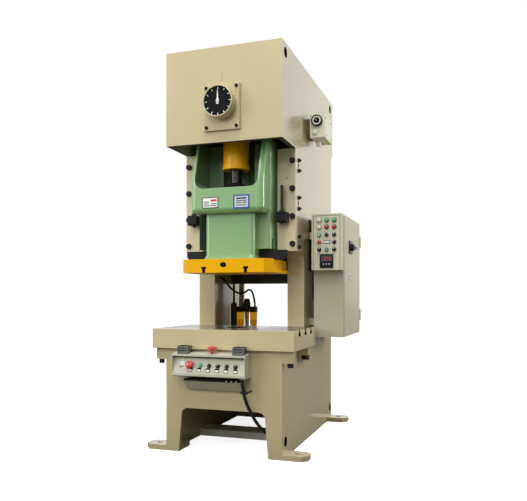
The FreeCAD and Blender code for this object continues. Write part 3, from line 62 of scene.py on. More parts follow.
Profile = Sequence[tuple[float, float]]
Zone = Callable[[bmesh.types.BMFace, float, float, float], int]

MM = 0.001
FRONT, UP, RIGHT = (0, -1, 0), (0, 0, 1), (1, 0, 0)
WHITE = (1.0, 1.0, 1.0)
FRONT_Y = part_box("frame_weldment")[0].y
PRESS = Matrix.Translation((0.0, FRONT_Y, 0.0))
LOCAL = Matrix.Identity(4)
FACING = Matrix.Rotation(math.pi / 2, 4, "X")
# Half widths that part the zones, in millimetres: inside and outside of the side plates, and the pocket.
SIDE_INSIDE, SIDE_OUTSIDE, POCKET_HALF = 377.5, 412.5, 227.5
# Heights that part the zones, in millimetres: ends of the unlit walls, the flange and the console's hood.
UNLIT_FROM, UNLIT_TO, FLANGE_TOP, HOOD_TOP = 1140.0, 2690.0, 1301.2, 670.5
# Distance in metres within which two corners of a mesh are one.
CAD_WELD, THREAD_WELD = 2e-6, 1e-6
# Share of a normal's length along an axis from which a face counts as square to it.
SQUARE = 0.9
# Degrees between faces from which their edge is rounded, and below which they are merged.
ROUND_FROM, MERGE_BELOW = 34.0, 0.4


# ---------------------------------------------------------------- places
def at(x: float, y: float, z: float) -> Vector:
    """A point given in millimetres from the press's centre line, front face and floor."""
    return Vector((x * MM, FRONT_Y + y * MM, z * MM))


def press_mm(spot: Vector) -> Vector:
    """A point in millimetres from the press's centre line, front face and floor."""
    return (spot - PRESS.translation) / MM


def middle(node: str) -> Vector:
    """Centre of a CAD node's box."""
    low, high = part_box(node)
    return (low + high) / 2


def drum(node: str) -> tuple[float, float, Vector]:
    """Radius, depth and centre of the back of a round CAD node that faces the front.

    Args:
        node: name of the node.

    Returns:
        Radius and depth in millimetres, and the centre in metres.
    """
    low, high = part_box(node)
    centre = middle(node)
    return (high.x - low.x) / 2 / MM, (high.y - low.y) / MM, Vector((centre.x, high.y, centre.z))


# ---------------------------------------------------------------- node trees
class Sock:
    """A node socket that takes part in Python expressions."""

    def __init__(self, tree: bpy.types.NodeTree, socket: bpy.types.NodeSocket) -> None:
        """Wraps a socket of a node tree."""
        self.tree, self.socket = tree, socket

    def _math(self, operation: str, *values: "Sock | float") -> "Sock":
        """Result of a Math node on two values."""
        settings = {"operation": operation}
        return Graph(self.tree).node("ShaderNodeMath", dict(enumerate(values)), **settings)

    def __add__(self, other: "Sock | float") -> "Sock":
        """Sum."""
        return self._math("ADD", self, other)

    def __sub__(self, other: "Sock | float") -> "Sock":
        """Difference."""
        return self._math("SUBTRACT", self, other)

    def __rsub__(self, other: float) -> "Sock":
        """Difference, with this socket taken away."""
        return self._math("SUBTRACT", other, self)

    def __mul__(self, other: "Sock | float") -> "Sock":
        """Product."""
        return self._math("MULTIPLY", self, other)

    __radd__, __rmul__ = __add__, __mul__

    def clamp(self) -> "Sock":
        """Limits to 0 and 1.

        Returns:
            The limited value.
        """
        result = self + 0.0
        result.socket.node.use_clamp = True
        return result

    def step(self, low: float, high: float) -> "Sock":
        """Ramp from 0 at low to 1 at high."""
        return ((self - low) * (1.0 / (high - low))).clamp()


class Graph:
    """A node tree whose nodes all come from one method."""

    def __init__(self, tree: bpy.types.NodeTree) -> None:
        """Wraps a node tree."""
        self.tree = tree

    def fill(self, node: bpy.types.Node, values: dict[int | str, Any]) -> None:
        """Links or sets a node's inputs.

        Args:
            node: the node.
            values: sockets or values by the input's name or number. None leaves an input as it is.
        """
        for key, value in values.items():
            slot = node.inputs[key]
            if isinstance(value, Sock):
                self.tree.links.new(value.socket, slot)
            elif value is not None:
                slot.default_value = (*value, 1.0) if slot.type == "RGBA" and len(value) == 3 else value

    def node(self, kind: str, values: dict[int | str, Any] | None = None, output: int | str = 0,
             **settings: Any) -> Sock:
        """Adds a node.

        Args:
            kind: the node's type.
            values: its inputs' sockets or values.
            output: which output is returned.
            settings: the node's properties, set first.

        Returns:
            The chosen output.
        """
        made = self.tree.nodes.new(kind)
        for key, value in settings.items():
            setattr(made, key, value)
        self.fill(made, values or {})
        return Sock(self.tree, made.outputs[output])

    def seen(self, *rays: str) -> Sock:
        """1 for camera rays and the named rays, which see the white studio.

        Args:
            rays: names of the Light Path outputs.

        Returns:
            The share, from 0 to 1.
        """
        total = self.node("ShaderNodeLightPath", output="Is Camera Ray")
        outputs = total.socket.node.outputs
        for name in rays:
            total = total + Sock(self.tree, outputs[name])
        return total.clamp()


class Shader(Graph):
    """One material's node tree."""

    def __init__(self, name: str) -> None:
        """Starts a material with a Principled shader.

        Args:
            name: the material's name.
        """
        self.material = bpy.data.materials.new(name)
        self.material.use_nodes = True
        super().__init__(self.material.node_tree)

    def set(self, **values: Any) -> bpy.types.Material:
        """Fills the Principled shader.

        Args:
            values: sockets or values by the inputs' names, with underscores.

        Returns:
            The material.
        """
        named = {key.replace("_", " "): value for key, value in values.items()}
        self.fill(self.tree.nodes["Principled BSDF"], named)
        return self.material

    def place(self) -> Sock:
        """Object coordinates."""
        return self.node("ShaderNodeTexCoord", output="Object")

    def height(self) -> Sock:
        """Height over the floor, in metres."""
        return self.node("ShaderNodeSeparateXYZ", {"Vector": self.place()}, "Z")

    def noise(self, scale: float, detail: float, stretch: Point | None = None) -> Sock:
        """Noise between 0 and 1.

        Args:
            scale: waves per metre.
            detail: octaves.
            stretch: waves per metre on each axis, on top of scale.

        Returns:
            The noise's value.
        """
        place = self.place()
        if stretch:
            place = self.node("ShaderNodeMapping", {"Vector": place, "Scale": stretch})
        return self.node("ShaderNodeTexNoise", {"Vector": place, "Scale": scale, "Detail": detail})

    def mix(self, share: Sock, first: Any, second: Any) -> Sock:
        """Mixes two colours, 0 for the first and 1 for the second."""
        return self.node("ShaderNodeMix", {0: share, 6: first, 7: second}, 2, data_type="RGBA")

    def bump(self, height: Sock, depth: float, strength: float, after: Sock | None = None) -> Sock:
        """Bump from a height.

        Args:
            height: the height from 0 to 1.
            depth: what 1 stands for, in metres.
            strength: the node's strength.
            after: a normal that is already bent.

        Returns:
            The bent normal.
        """
        values = {"Height": height, "Distance": depth, "Strength": strength, "Normal": after}
        return self.node("ShaderNodeBump", values)


# ---------------------------------------------------------------- finishes
def tint(colour: Colour, factor: float) -> Colour:
    """A lighter or darker version of a colour."""
    return tuple(min(1.0, channel * factor) for channel in colour)


@dataclass(frozen=True)
class Paint:
    """Sprayed machine enamel on plate or casting.

    Attributes:
        colour: paint colour.
        gloss: roughness of the smooth film.
        texture: depth of the casting or putty waves under the paint, in metres.
        shine: strength of the mirroring, 1 for full enamel.
        low_darkening: how much darker the paint gets towards the floor, in mottled patches.
        peel: depth of the orange peel, in metres.
        darkening_height: height that this darkening reaches, in metres.
    """

    colour: Colour
    gloss: float = 0.26
    texture: float = 0.0006
    shine: float = 1.0
    low_darkening: float = 0.0
    peel: float = 0.00002
    darkening_height: float = 0.22

    def build(self, name: str) -> bpy.types.Material:
        """Makes the material.

        Args:
            name: the material's name.

        Returns:
            The material.
        """
        shader = Shader(name)
        cloud = shader.noise(1.7, 3.0)
        worn = shader.noise(9.0, 2.0).step(0.50, 0.75)
        colour = shader.mix(cloud.step(0.3, 0.7), tint(self.colour, 0.95), tint(self.colour, 1.04))
        colour = shader.mix(worn * 0.10, colour, tint(self.colour, 0.84))
        # Darker in mottled patches towards the floor.
        if self.low_darkening:
            low = 1.0 - shader.height().step(0.0, self.darkening_height)
            colour = shader.mix(low * shader.noise(46.0, 2.0) * self.low_darkening, colour, tint(self.colour, 0.55))
        waves = shader.bump(shader.noise(6.0, 0.0), self.texture, 0.5)
        return shader.set(
            Base_Color=colour, Roughness=self.gloss + (cloud - 0.5) * 0.05,
            Normal=shader.bump(shader.noise(420.0, 0.0), self.peel, 0.05, waves),
            Specular_IOR_Level=0.35 * self.shine, Coat_Weight=0.6 * self.shine, Coat_Roughness=0.10)


class Grain(Enum):
    """Direction of the tool marks on a machined face, in waves per metre."""

    ALONG_X = (3.0, 260.0, 260.0)
    ALONG_Z = (260.0, 260.0, 3.0)
    ROUND_Z = (60.0, 60.0, 900.0)
    ROUND_Y = (60.0, 900.0, 60.0)


@dataclass(frozen=True)
class Steel:
    """Machined, ground or blackened steel.

    Attributes:
        colour: metal colour.
        roughness: mean roughness.
        grain: direction of the tool marks.
        metallic: 1 for bare metal, less under a black film.
        oil: how dark the oil stains are.
        specular: strength of the mirroring on a film or a dull black.
    """

    colour: Colour
    roughness: float
    grain: Grain = Grain.ALONG_X
    metallic: float = 1.0
    oil: float = 0.25
    specular: float = 0.5

    def build(self, name: str) -> bpy.types.Material:
        """Makes the material.

        Args:
            name: the material's name.

        Returns:
            The material.
        """
        shader = Shader(name)
        marks = shader.noise(1.0, 4.0, self.grain.value)
        stain = shader.noise(7.0, 5.0).step(0.45, 0.72)
        colour = shader.mix(marks, tint(self.colour, 0.82), tint(self.colour, 1.1))
        return shader.set(
            Base_Color=shader.mix(stain * self.oil, colour, tint(self.colour, 0.5)),
            Roughness=self.roughness + (marks - 0.5) * 0.22 - stain * 0.08, Metallic=self.metallic,
            Specular_IOR_Level=self.specular, Normal=shader.bump(marks, 0.00008, 0.5))


@dataclass(frozen=True)
class Cast:
    """Rough cast iron.

    Attributes:
        colour: surface colour.
        roughness: mean roughness.
        pits: depth of the sand texture, in metres.
        metallic: share of bare metal.
    """

    colour: Colour
    roughness: float = 0.62
    pits: float = 0.0004
    metallic: float = 0.4

    def build(self, name: str) -> bpy.types.Material:
        """Makes the material.

        Args:
            name: the material's name.

        Returns:
            The material.
        """
        shader = Shader(name)
        sand = shader.noise(240.0, 3.0)
        return shader.set(
            Base_Color=shader.mix(shader.noise(12.0, 3.0), tint(self.colour, 0.8), tint(self.colour, 1.2)),
            Roughness=self.roughness + (sand - 0.5) * 0.2, Metallic=self.metallic,
            Normal=shader.bump(sand, self.pits, 0.6))


@dataclass(frozen=True)
class Moulding:
    """Moulded plastic or rubber.

    Attributes:
        colour: plastic colour.
        roughness: mean roughness.
        coat: clear gloss over it.
        specular: strength of the mirroring.
        texture: depth of the mould's texture, in metres.
    """

    colour: Colour
    roughness: float
    coat: float = 0.0
    specular: float = 0.5
    texture: float = 0.00004

    def build(self, name: str) -> bpy.types.Material:
        """Makes the material.

        Args:
            name: the material's name.

        Returns:
            The material.
        """
        shader = Shader(name)
        handled = shader.noise(30.0, 3.0)
        return shader.set(
            Base_Color=shader.mix(handled, tint(self.colour, 0.88), tint(self.colour, 1.1)),
            Roughness=self.roughness + (handled - 0.5) * 0.14, Coat_Weight=self.coat,
            Normal=shader.bump(shader.noise(900.0, 2.0), self.texture, 0.5), Specular_IOR_Level=self.specular)


@dataclass(frozen=True)
class Translucent:
    """Tinted bowl with the fluid's darker level in it, glowing as painted light.

    Attributes:
        colour: colour of the plastic.
        level: height of the fluid, in metres.
        glow: strength of the emission, painted light that stands for light coming through the bowl.
    """

    colour: Colour
    level: float
    glow: float = 0.28

    def build(self, name: str) -> bpy.types.Material:
        """Makes the material.

        Args:
            name: the material's name.

        Returns:
            The material.
        """
        shader = Shader(name)
        wet = 1.0 - shader.height().step(self.level, self.level + 0.004)
        streak = shader.noise(1.0, 3.0, (40.0, 40.0, 6.0))
        colour = shader.mix(wet, tint(self.colour, 1.15), tint(self.colour, 0.55))
        colour = shader.mix(streak * 0.4, colour, tint(self.colour, 1.4))
        # The emission is painted light: the bowl glows though nothing lights it from behind.
        return shader.set(
            Base_Color=colour, Roughness=0.12 + streak * 0.1, Coat_Weight=0.3, Emission_Color=colour,
            Emission_Strength=self.glow)


class Palette:
    """All finishes of the press, each built at its first use."""

    FINISHES = {
        "beige": Paint((0.555, 0.485, 0.275), 0.24, low_darkening=0.5),
        "panel": Paint((0.74, 0.71, 0.53), 0.38, 0.0001, 0.15),
        "grey_beige": Paint((0.56, 0.535, 0.385), 0.38, 0.0001, 0.15),
        "console": Paint((0.62, 0.62, 0.49), 0.30, 0.0001, 0.5),
        # Pale paint as painted light: painted highlight on the console hood's top, painted reflection of the
        # floor on the lower beam.
        "hood": Paint((0.90, 0.89, 0.80), 0.30, 0.0001),
        "air_box": Paint((0.82, 0.81, 0.66), 0.30, 0.0001, 0.5),
        # Dark brown paint as painted shade: under the console hood and on the air box's side next to the side
        # plate.
        "painted_shade_brown": Paint((0.17, 0.15, 0.09), 0.5, 0.0001, 0.1),
        # Near black green as painted shade on the slide's left guide way.
        "way_painted_shade": Paint((0.020, 0.030, 0.016), 0.5, 0.0003, 0.1),
        "green": Paint((0.26, 0.47, 0.20), 0.22, 0.0010),
        # Darker copy of the slide's green as painted shade inside the pocket.
        "pocket_painted_shade": Paint((0.115, 0.20, 0.085), 0.3, 0.0010),
        "gib": Paint((0.76, 0.68, 0.44), 0.30, shine=0.6),
        # Lighter than the frame's beige, as painted light on the bolster's front.
        "bolster": Paint((0.68, 0.60, 0.345), 0.24),
        "yellow": Paint((0.96, 0.50, 0.003), 0.3, 0.0004, 0.15),
        "orange": Paint((0.98, 0.47, 0.004), 0.25, 0.0005, 0.3),
        # Near black paint as painted shade on the frame's walls above the throat.
        "inside_painted_shade": Paint((0.085, 0.08, 0.06), 0.5, shine=0.2),
        "motor": Paint((0.05, 0.10, 0.12), 0.4, 0.0008),
        "plate_top": Steel((0.50, 0.49, 0.44), 0.24),
        "shaft": Steel((0.45, 0.44, 0.42), 0.3, Grain.ROUND_Y),
        "black_steel": Steel((0.016, 0.016, 0.018), 0.45, Grain.ROUND_Y, 0.1, specular=0.15),
        "gunmetal": Steel((0.10, 0.095, 0.09), 0.34, Grain.ROUND_Z, 0.9, 0.5),
        "bronze": Steel((0.55, 0.36, 0.14), 0.35, Grain.ALONG_Z),
        "dark_pipe": Steel((0.045, 0.045, 0.038), 0.5, Grain.ALONG_Z, 0.1, specular=0.2),
        "zinc": Steel((0.48, 0.48, 0.47), 0.38, Grain.ALONG_Z, oil=0.15),
        "guard_steel": Steel((0.20, 0.20, 0.20), 0.4, metallic=0.8, oil=0.3),
        "iron": Cast((0.10, 0.10, 0.10)),
        "rubber": Moulding((0.014, 0.014, 0.014), 0.7, specular=0.2, texture=0.0002),
        "black": Moulding((0.014, 0.014, 0.014), 0.35, specular=0.2),
        "satin_black": Moulding((0.008, 0.008, 0.009), 0.5, specular=0.06),
        "navy": Moulding((0.010, 0.016, 0.028), 0.35, specular=0.15),
        "white": Moulding((0.90, 0.90, 0.86), 0.4),
        "red": Moulding((0.66, 0.03, 0.02), 0.25, 0.5),
        "deep_red": Moulding((0.42, 0.012, 0.012), 0.2, 0.6),
        "green_cap": Moulding((0.07, 0.44, 0.19), 0.3, 0.4),
        "pink": Moulding((0.78, 0.30, 0.26), 0.35),
        "teal": Moulding((0.02, 0.20, 0.22), 0.3, 0.4),
        "blue": Moulding((0.03, 0.10, 0.33), 0.35),
        "index_line": Moulding((0.30, 0.24, 0.14), 0.5),
        "groove": Moulding((0.09, 0.09, 0.065), 0.6, specular=0.1),
        "window": Moulding((0.03, 0.006, 0.006), 0.12, 0.6),
        "glow": Moulding((0.70, 0.02, 0.06), 0.4),
        "pale_plate": Moulding((0.62, 0.66, 0.70), 0.3),
        "amber": Translucent((0.95, 0.40, 0.008), 0.852),
    }

    def __init__(self) -> None:
        """Starts with nothing built."""
        self._built: dict[str, bpy.types.Material] = {}

    def __getitem__(self, name: str) -> bpy.types.Material:
        """The material of that name.

        Args:
            name: name of the finish.

        Returns:
            The material.
        """
        if name not in self._built:
            self._built[name] = self.FINISHES[name].build(name)
        return self._built[name]


PALETTE = Palette()


# ---------------------------------------------------------------- mesh helpers
def linked(name: str, data: Any) -> bpy.types.Object:
    """A new object in the scene.

    Args:
        name: the object's name.
        data: what the object shows.

    Returns:
        The object.
    """
    made = bpy.data.objects.new(name, data)
    bpy.context.scene.collection.objects.link(made)
    return made


def baked(item: bpy.types.Object) -> bpy.types.Mesh:
    """The evaluated mesh of an object, which is then removed.

    Args:
        item: the object.

    Returns:
        The mesh.
    """
    graph = bpy.context.evaluated_depsgraph_get()
    data = bpy.data.meshes.new_from_object(item.evaluated_get(graph))
    bpy.data.objects.remove(item)
    return data


def closed(mesh: bmesh.types.BMesh, name: str, finishes: Sequence[str]) -> bpy.types.Mesh:
    """Turns a mesh under construction into mesh data with its finishes.

    Args:
        mesh: the mesh, which is freed.
        name: name of the data.
        finishes: names of the finishes.

    Returns:
        The mesh data.
    """
    data = bpy.data.meshes.new(name)
    mesh.to_mesh(data)
    mesh.free()
    for finish in finishes:
        data.materials.append(PALETTE[finish])
    return data


def finish_object(data: bpy.types.Mesh, name: str, body: str, slot: str, replaces: Sequence[str] = (),
                  bevel: float = 0.0, smooth: float = 40.0, segments: int = 2, limit: str = "ANGLE"
                  ) -> bpy.types.Object:
    """Links a mesh as an object with rounded edges, on its body.

    Args:
        data: the mesh.
        name: name of the piece.
        body: body that it rides on.
        slot: material slot of the record; not used.
        replaces: CAD nodes that it stands for.
        bevel: width of the edge rounding.
        smooth: angle in degrees below which edges shade smoothly.
        segments: steps of the rounding.
        limit: how the rounded edges are chosen.

    Returns:
        The object.
    """
    for polygon in data.polygons:
        polygon.use_smooth = True
    data.set_sharp_from_angle(angle=math.radians(smooth))
    made = linked(name, data)
    if bevel:
        rounding = made.modifiers.new("rounding", "BEVEL")
        rounding.width = bevel * MM
        rounding.segments = segments
        rounding.limit_method = limit
        rounding.angle_limit = math.radians(ROUND_FROM)
        rounding.harden_normals = True
        rounding.miter_outer = "MITER_ARC"
        even = made.modifiers.new("even", "WEIGHTED_NORMAL")
        even.mode = "FACE_AREA"
        even.weight = 100
        even.keep_sharp = True
    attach(made, body)
    if replaces:
        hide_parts(*replaces)
    LOG.info("%s on %s", name, body)
    return made


class Piece:
    """A mesh under construction that ends as a piece on a body."""

    def __init__(self, name: str) -> None:
        """Starts an empty mesh.

        Args:
            name: name of the piece.
        """
        self.name = name
        self.mesh = bmesh.new()
        self.finishes: list[str] = []

    def _add(self, corners: Sequence[bmesh.types.BMVert], finish: str) -> None:
        """One face of a finish, which is added at its first use.

        Args:
            corners: its corners in order.
            finish: name of the finish.
        """
        if finish not in self.finishes:
            self.finishes.append(finish)
        self.mesh.faces.new(corners).material_index = self.finishes.index(finish)

    def skin(self, rings: Sequence[Sequence[Vector]], finish: str, around: bool = True, loop: bool = False,
             caps: bool = False) -> None:
        """Faces between rings of points. A ring of one point closes to a tip.

        Args:
            rings: the rings.
            finish: name of the finish.
            around: joins the last point of a ring to its first.
            loop: joins the last ring to the first.
            caps: closes the first and the last ring.
        """
        made = [[self.mesh.verts.new(spot) for spot in ring] for ring in rings]
        count = max(len(ring) for ring in made)
        for lower, upper in list(zip(made, made[1:])) + ([(made[-1], made[0])] if loop else []):
            for step in range(count if around else count - 1):
                after = (step + 1) % count
                corners = dict.fromkeys((lower[step % len(lower)], lower[after % len(lower)],
                                         upper[after % len(upper)], upper[step % len(upper)]))
                if len(corners) > 2:
                    self._add(list(corners), finish)
        if caps:
            self._add(made[0][::-1], finish)
            self._add(made[-1], finish)

    def turn(self, profile: Profile, spot: Vector, finish: str, segments: int = 40, axis: Point = FRONT
             ) -> "Piece":
        """Adds a solid turned about an axis.

        Args:
            profile: (radius, height) corners from the axis out and back to it, or round a ring's section.
            spot: the profile's origin.
            finish: name of the finish.
            segments: faces round the turn.
            axis: direction of the height.

        Returns:
            This piece.
        """
        place = Matrix.Translation(spot) @ Vector(UP).rotation_difference(Vector(axis)).to_matrix().to_4x4()
        angles = [2 * math.pi * step / segments for step in range(segments)]
        rings = [[place @ (Vector((radius * math.cos(angle), radius * math.sin(angle), height)) * MM)
                  for angle in (angles if radius else angles[:1])] for radius, height in profile]
        self.skin(rings, finish, loop=profile[0][0] > 0)
        return self

    def block(self, low: Point, high: Point, finish: str, place: Matrix = PRESS) -> "Piece":
        """Adds a rectangular block between two corners, in millimetres of the press or of a place.

        Args:
            low: one corner.
            high: the opposite corner.
            finish: name of the finish.
            place: placement of the block.

        Returns:
            This piece.
        """
        spots = [place @ (Vector((x, y, z)) * MM) for x in (low[0], high[0]) for y in (low[1], high[1])
                 for z in (low[2], high[2])]
        corners = [self.mesh.verts.new(spot) for spot in spots]
        for side in ((0, 1, 3, 2), (4, 6, 7, 5), (0, 4, 5, 1), (2, 3, 7, 6), (0, 2, 6, 4), (1, 5, 7, 3)):
            self._add([corners[corner] for corner in side], finish)
        return self

    def data(self) -> bpy.types.Mesh:
        """The finished mesh, faces outward."""
        bmesh.ops.recalc_face_normals(self.mesh, faces=self.mesh.faces)
        return closed(self.mesh, self.name, self.finishes)

    def done(self, body: str, slot: str, *replaces: str, bevel: float = 0.0, smooth: float = 40.0
             ) -> bpy.types.Object:
        """Hands the piece to its body, with the terms of finish_object."""
        return finish_object(self.data(), self.name, body, slot, replaces, bevel, smooth)


# ---------------------------------------------------------------- repeated pieces
class Layout(Enum):
    """How a repeated item is laid out."""

    RING = "ring"
    ROW = "row"


@dataclass(frozen=True)
class Repeater:
    """Geometry Nodes tree that repeats one item round a ring or in a row.

    Attributes:
        layout: the way the copies lie.
        count: number of copies.
        radius: the ring's radius.
        step: from one copy to the next in a row.
    """

    SOCKETS = {"Geometry": "Geometry", "Item": "Object", "Count": "Int", "Radius": "Float", "Step": "Vector",
               "Finish": "Material"}

    layout: Layout
    count: int
    radius: float = 100.0
    step: Point = (100.0, 0.0, 0.0)

    def _tree(self) -> bpy.types.NodeTree:
        """Builds the node tree with its named inputs.

        Returns:
            The tree.
        """
        tree = bpy.data.node_groups.new("repeat_" + self.layout.value, "GeometryNodeTree")
        for name, kind in self.SOCKETS.items():
            tree.interface.new_socket(name, in_out="INPUT", socket_type="NodeSocket" + kind)
        tree.interface.new_socket("Geometry", in_out="OUTPUT", socket_type="NodeSocketGeometry")
        graph = Graph(tree)
        start = graph.node("NodeGroupInput").socket.node
        given = {name: Sock(tree, start.outputs[name]) for name in self.SOCKETS}
        rotation = None
        if self.layout is Layout.ROW:
            points = graph.node("GeometryNodeMeshLine", {"Count": given["Count"], "Offset": given["Step"]})
        else:
            points = graph.node("GeometryNodeMeshCircle",
                                {"Vertices": given["Count"], "Radius": given["Radius"]})
            outward = {"Vector": graph.node("GeometryNodeInputPosition")}
            rotation = graph.node("FunctionNodeAlignRotationToVector", outward, axis="X", pivot_axis="Z")
        item = graph.node("GeometryNodeObjectInfo", {"Object": given["Item"]}, "Geometry")
        copies = graph.node("GeometryNodeInstanceOnPoints",
                            {"Points": points, "Instance": item, "Rotation": rotation})
        real = graph.node("GeometryNodeRealizeInstances", {0: copies})
        dressed = graph.node("GeometryNodeSetMaterial", {"Geometry": real, "Material": given["Finish"]})
        graph.fill(tree.nodes.new("NodeGroupOutput"), {0: dressed})
        return tree

    def lay(self, piece: Piece, place: Matrix, slot: str, bevel: float = 0.0) -> None:
        """Repeats a piece's form and hands the copies to the frame as one piece.

        Args:
            piece: the item at the origin, with the name and the finish of the whole.
            place: where the copies go.
            slot: material slot of the record.
            bevel: width of the edge rounding.
        """
        item = linked("item", piece.data())
        carrier = linked("carrier", bpy.data.meshes.new("carrier"))
        modifier = carrier.modifiers.new("repeat", "NODES")
        modifier.node_group = self._tree()
        sockets = {socket.name: socket.identifier for socket in modifier.node_group.interface.items_tree
                   if socket.in_out == "INPUT"}
        values = {"Item": item, "Count": self.count, "Radius": self.radius * MM,
                  "Step": tuple(part * MM for part in self.step), "Finish": PALETTE[piece.finishes[0]]}
        for name, value in values.items():
            modifier[sockets[name]] = value
        data = baked(carrier)
        bpy.data.objects.remove(item)
        data.transform(place)
        finish_object(data, piece.name, "frame", slot, bevel=bevel)


# ---------------------------------------------------------------- carried-over nodes
def bolster_zone(face: bmesh.types.BMFace, x: float, y: float, z: float) -> int:
    """1 on the ground top, 2 in the T-slots and the hole, black as painted shade, 0 on the painted sides,
    lighter than the frame's paint as painted light.

    Args:
        face: the face.
        x, y, z: its centre, in millimetres of the press.

    Returns:
        Number of the face's finish.
    """
    low, high = (press_mm(corner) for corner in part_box("bolster"))
    if face.normal.z > SQUARE and z > high.z - 1:
        return 1
    return 2 * all(first + 0.5 < value < last - 0.5 for first, value, last in zip(low, (x, y, z), high))


def frame_zone(face: bmesh.types.BMFace, x: float, y: float, z: float) -> int:
    """1 on the unlit walls above the throat, dark as painted shade, 2 on the walls of the side plates' holes,
    black as painted shade, 3 on the lower beam, pale as painted reflection of the floor.

    Args:
        face: the face.
        x, y, z: its centre, in millimetres of the press.

    Returns:
        Number of the face's finish.
    """
    # Walls of the crown and foot holes in the side plates are painted black as painted shade.
    facet = SIDE_INSIDE < abs(x) < SIDE_OUTSIDE and abs(face.normal.x) < 0.3 and face.calc_area() < 0.004
    crown_hole, foot_hole = z > 2400, 60 < z < 160
    if facet and (crown_hole or foot_hole):
        return 2
    # The lower beam's faces take pale paint as painted reflection of the floor.
    beam = abs(x) < SIDE_INSIDE and z < 200 and y > 300
    if beam and (face.normal.y < -SQUARE or face.normal.z > SQUARE) and face.calc_area() > 0.01:
        return 3
    column = abs(x) > 280 and z < 1380 and y < 552
    between_sides = abs(x) < SIDE_INSIDE and 41 < y < 1450
    return int(between_sides and UNLIT_FROM < z < UNLIT_TO and not column)


def guard_zone(face: bmesh.types.BMFace, x: float, y: float, z: float) -> int:
    """1 inside the palm guards, black as painted shade, 0 on their outer faces.

    Args:
        face: the face; not used.
        x, y, z: its centre, in millimetres of the press.

    Returns:
        Number of the face's finish.
    """
    low, high = (press_mm(corner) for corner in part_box("palm_guards"))
    nearest = min(abs(x - centre) for centre in Console.palm_x)
    return int(nearest < 36.5 and low.y + 2 < y < high.y - 2 and z < high.z - 1)


def console_zone(face: bmesh.types.BMFace, x: float, y: float, z: float) -> int:
    """1 on the hood's top, paler as painted highlight, 2 on the shadowed faces under it, darker as painted
    shade, 0 elsewhere.

    Args:
        face: the face.
        x, y, z: its centre, in millimetres of the press; x is not used.

    Returns:
        Number of the face's finish.
    """
    if face.normal.z > SQUARE and z > HOOD_TOP:
        return 1
    under_hood = face.normal.z < -SQUARE and z > 660
    behind_panel = face.normal.y < -SQUARE and 645 < z < 669 and y > -80
    return 2 * (under_hood or behind_panel)


def panel_zone(face: bmesh.types.BMFace, x: float, y: float, z: float) -> int:
    """1 on the operator box's front sheet, 0 elsewhere."""
    return int(face.normal.y < -SQUARE and x > 440 and z > 1200)


def trough_zone(face: bmesh.types.BMFace, x: float, y: float, z: float) -> int:
    """1 on the trough's inside, lip and open end, black as painted shade, 0 on its painted sheet."""
    inside, lip = face.normal.z > SQUARE and z < 510, face.normal.y < -SQUARE and z > 490
    return int(inside or lip or face.normal.x < -SQUARE)


def air_box_zone(face: bmesh.types.BMFace, x: float, y: float, z: float) -> int:
    """1 on the air box's side next to the side plate, darkened as painted shade, 0 elsewhere."""
    return int(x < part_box("gauge_box")[0].x / MM + 22)


def filter_zone(face: bmesh.types.BMFace, x: float, y: float, z: float) -> int:
    """1 on the air unit's hanger plate, 2 on the pale foot of its regulator, 0 on the dark heads.

    Args:
        face: the face.
        x, y, z: its centre, in millimetres of the press.

    Returns:
        Number of the face's finish.
    """
    hanger = y > 1119.5 and abs(face.normal.y) > SQUARE
    foot = abs(x + 226) < 25 and z < 935
    return 1 if hanger else 2 * foot


def slide_zone(face: bmesh.types.BMFace, x: float, y: float, z: float) -> int:
    """0 on the body, 1 on the flange, 2 in its slots and holes, black as painted shade, 3 in the pocket,
    darker green as painted shade, 4 on the left way, near black as painted shade.

    Args:
        face: the face; not used.
        x, y, z: its centre, in millimetres of the press.

    Returns:
        Number of the face's finish.
    """
    shaded_left_way = x < -170 and 1370 < z < 1620 and 190 < y < 234
    pocket = abs(x) < POCKET_HALF and z > 1600 and 110 < y < 393.5
    if shaded_left_way:
        return 4
    if z > FLANGE_TOP:
        return 3 * pocket
    low, screw = press_mm(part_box("slide")[0]), press_mm(middle("ball_screw"))
    up, back = z - low.z, y - low.y
    # Walls of the flange's slots, the front hole and the shank's bore are painted black as painted shade.
    slot = abs(abs(x) - 150) < 18.5 and 0.5 < up < 41 and back > 0.5
    front_hole = abs(x + 6) < 27 and 0.5 < back < 16
    shank = 0.5 < up < 63 and math.hypot(x, y - screw.y) < 25.5
    return 2 if slot or front_hole or shank else 1


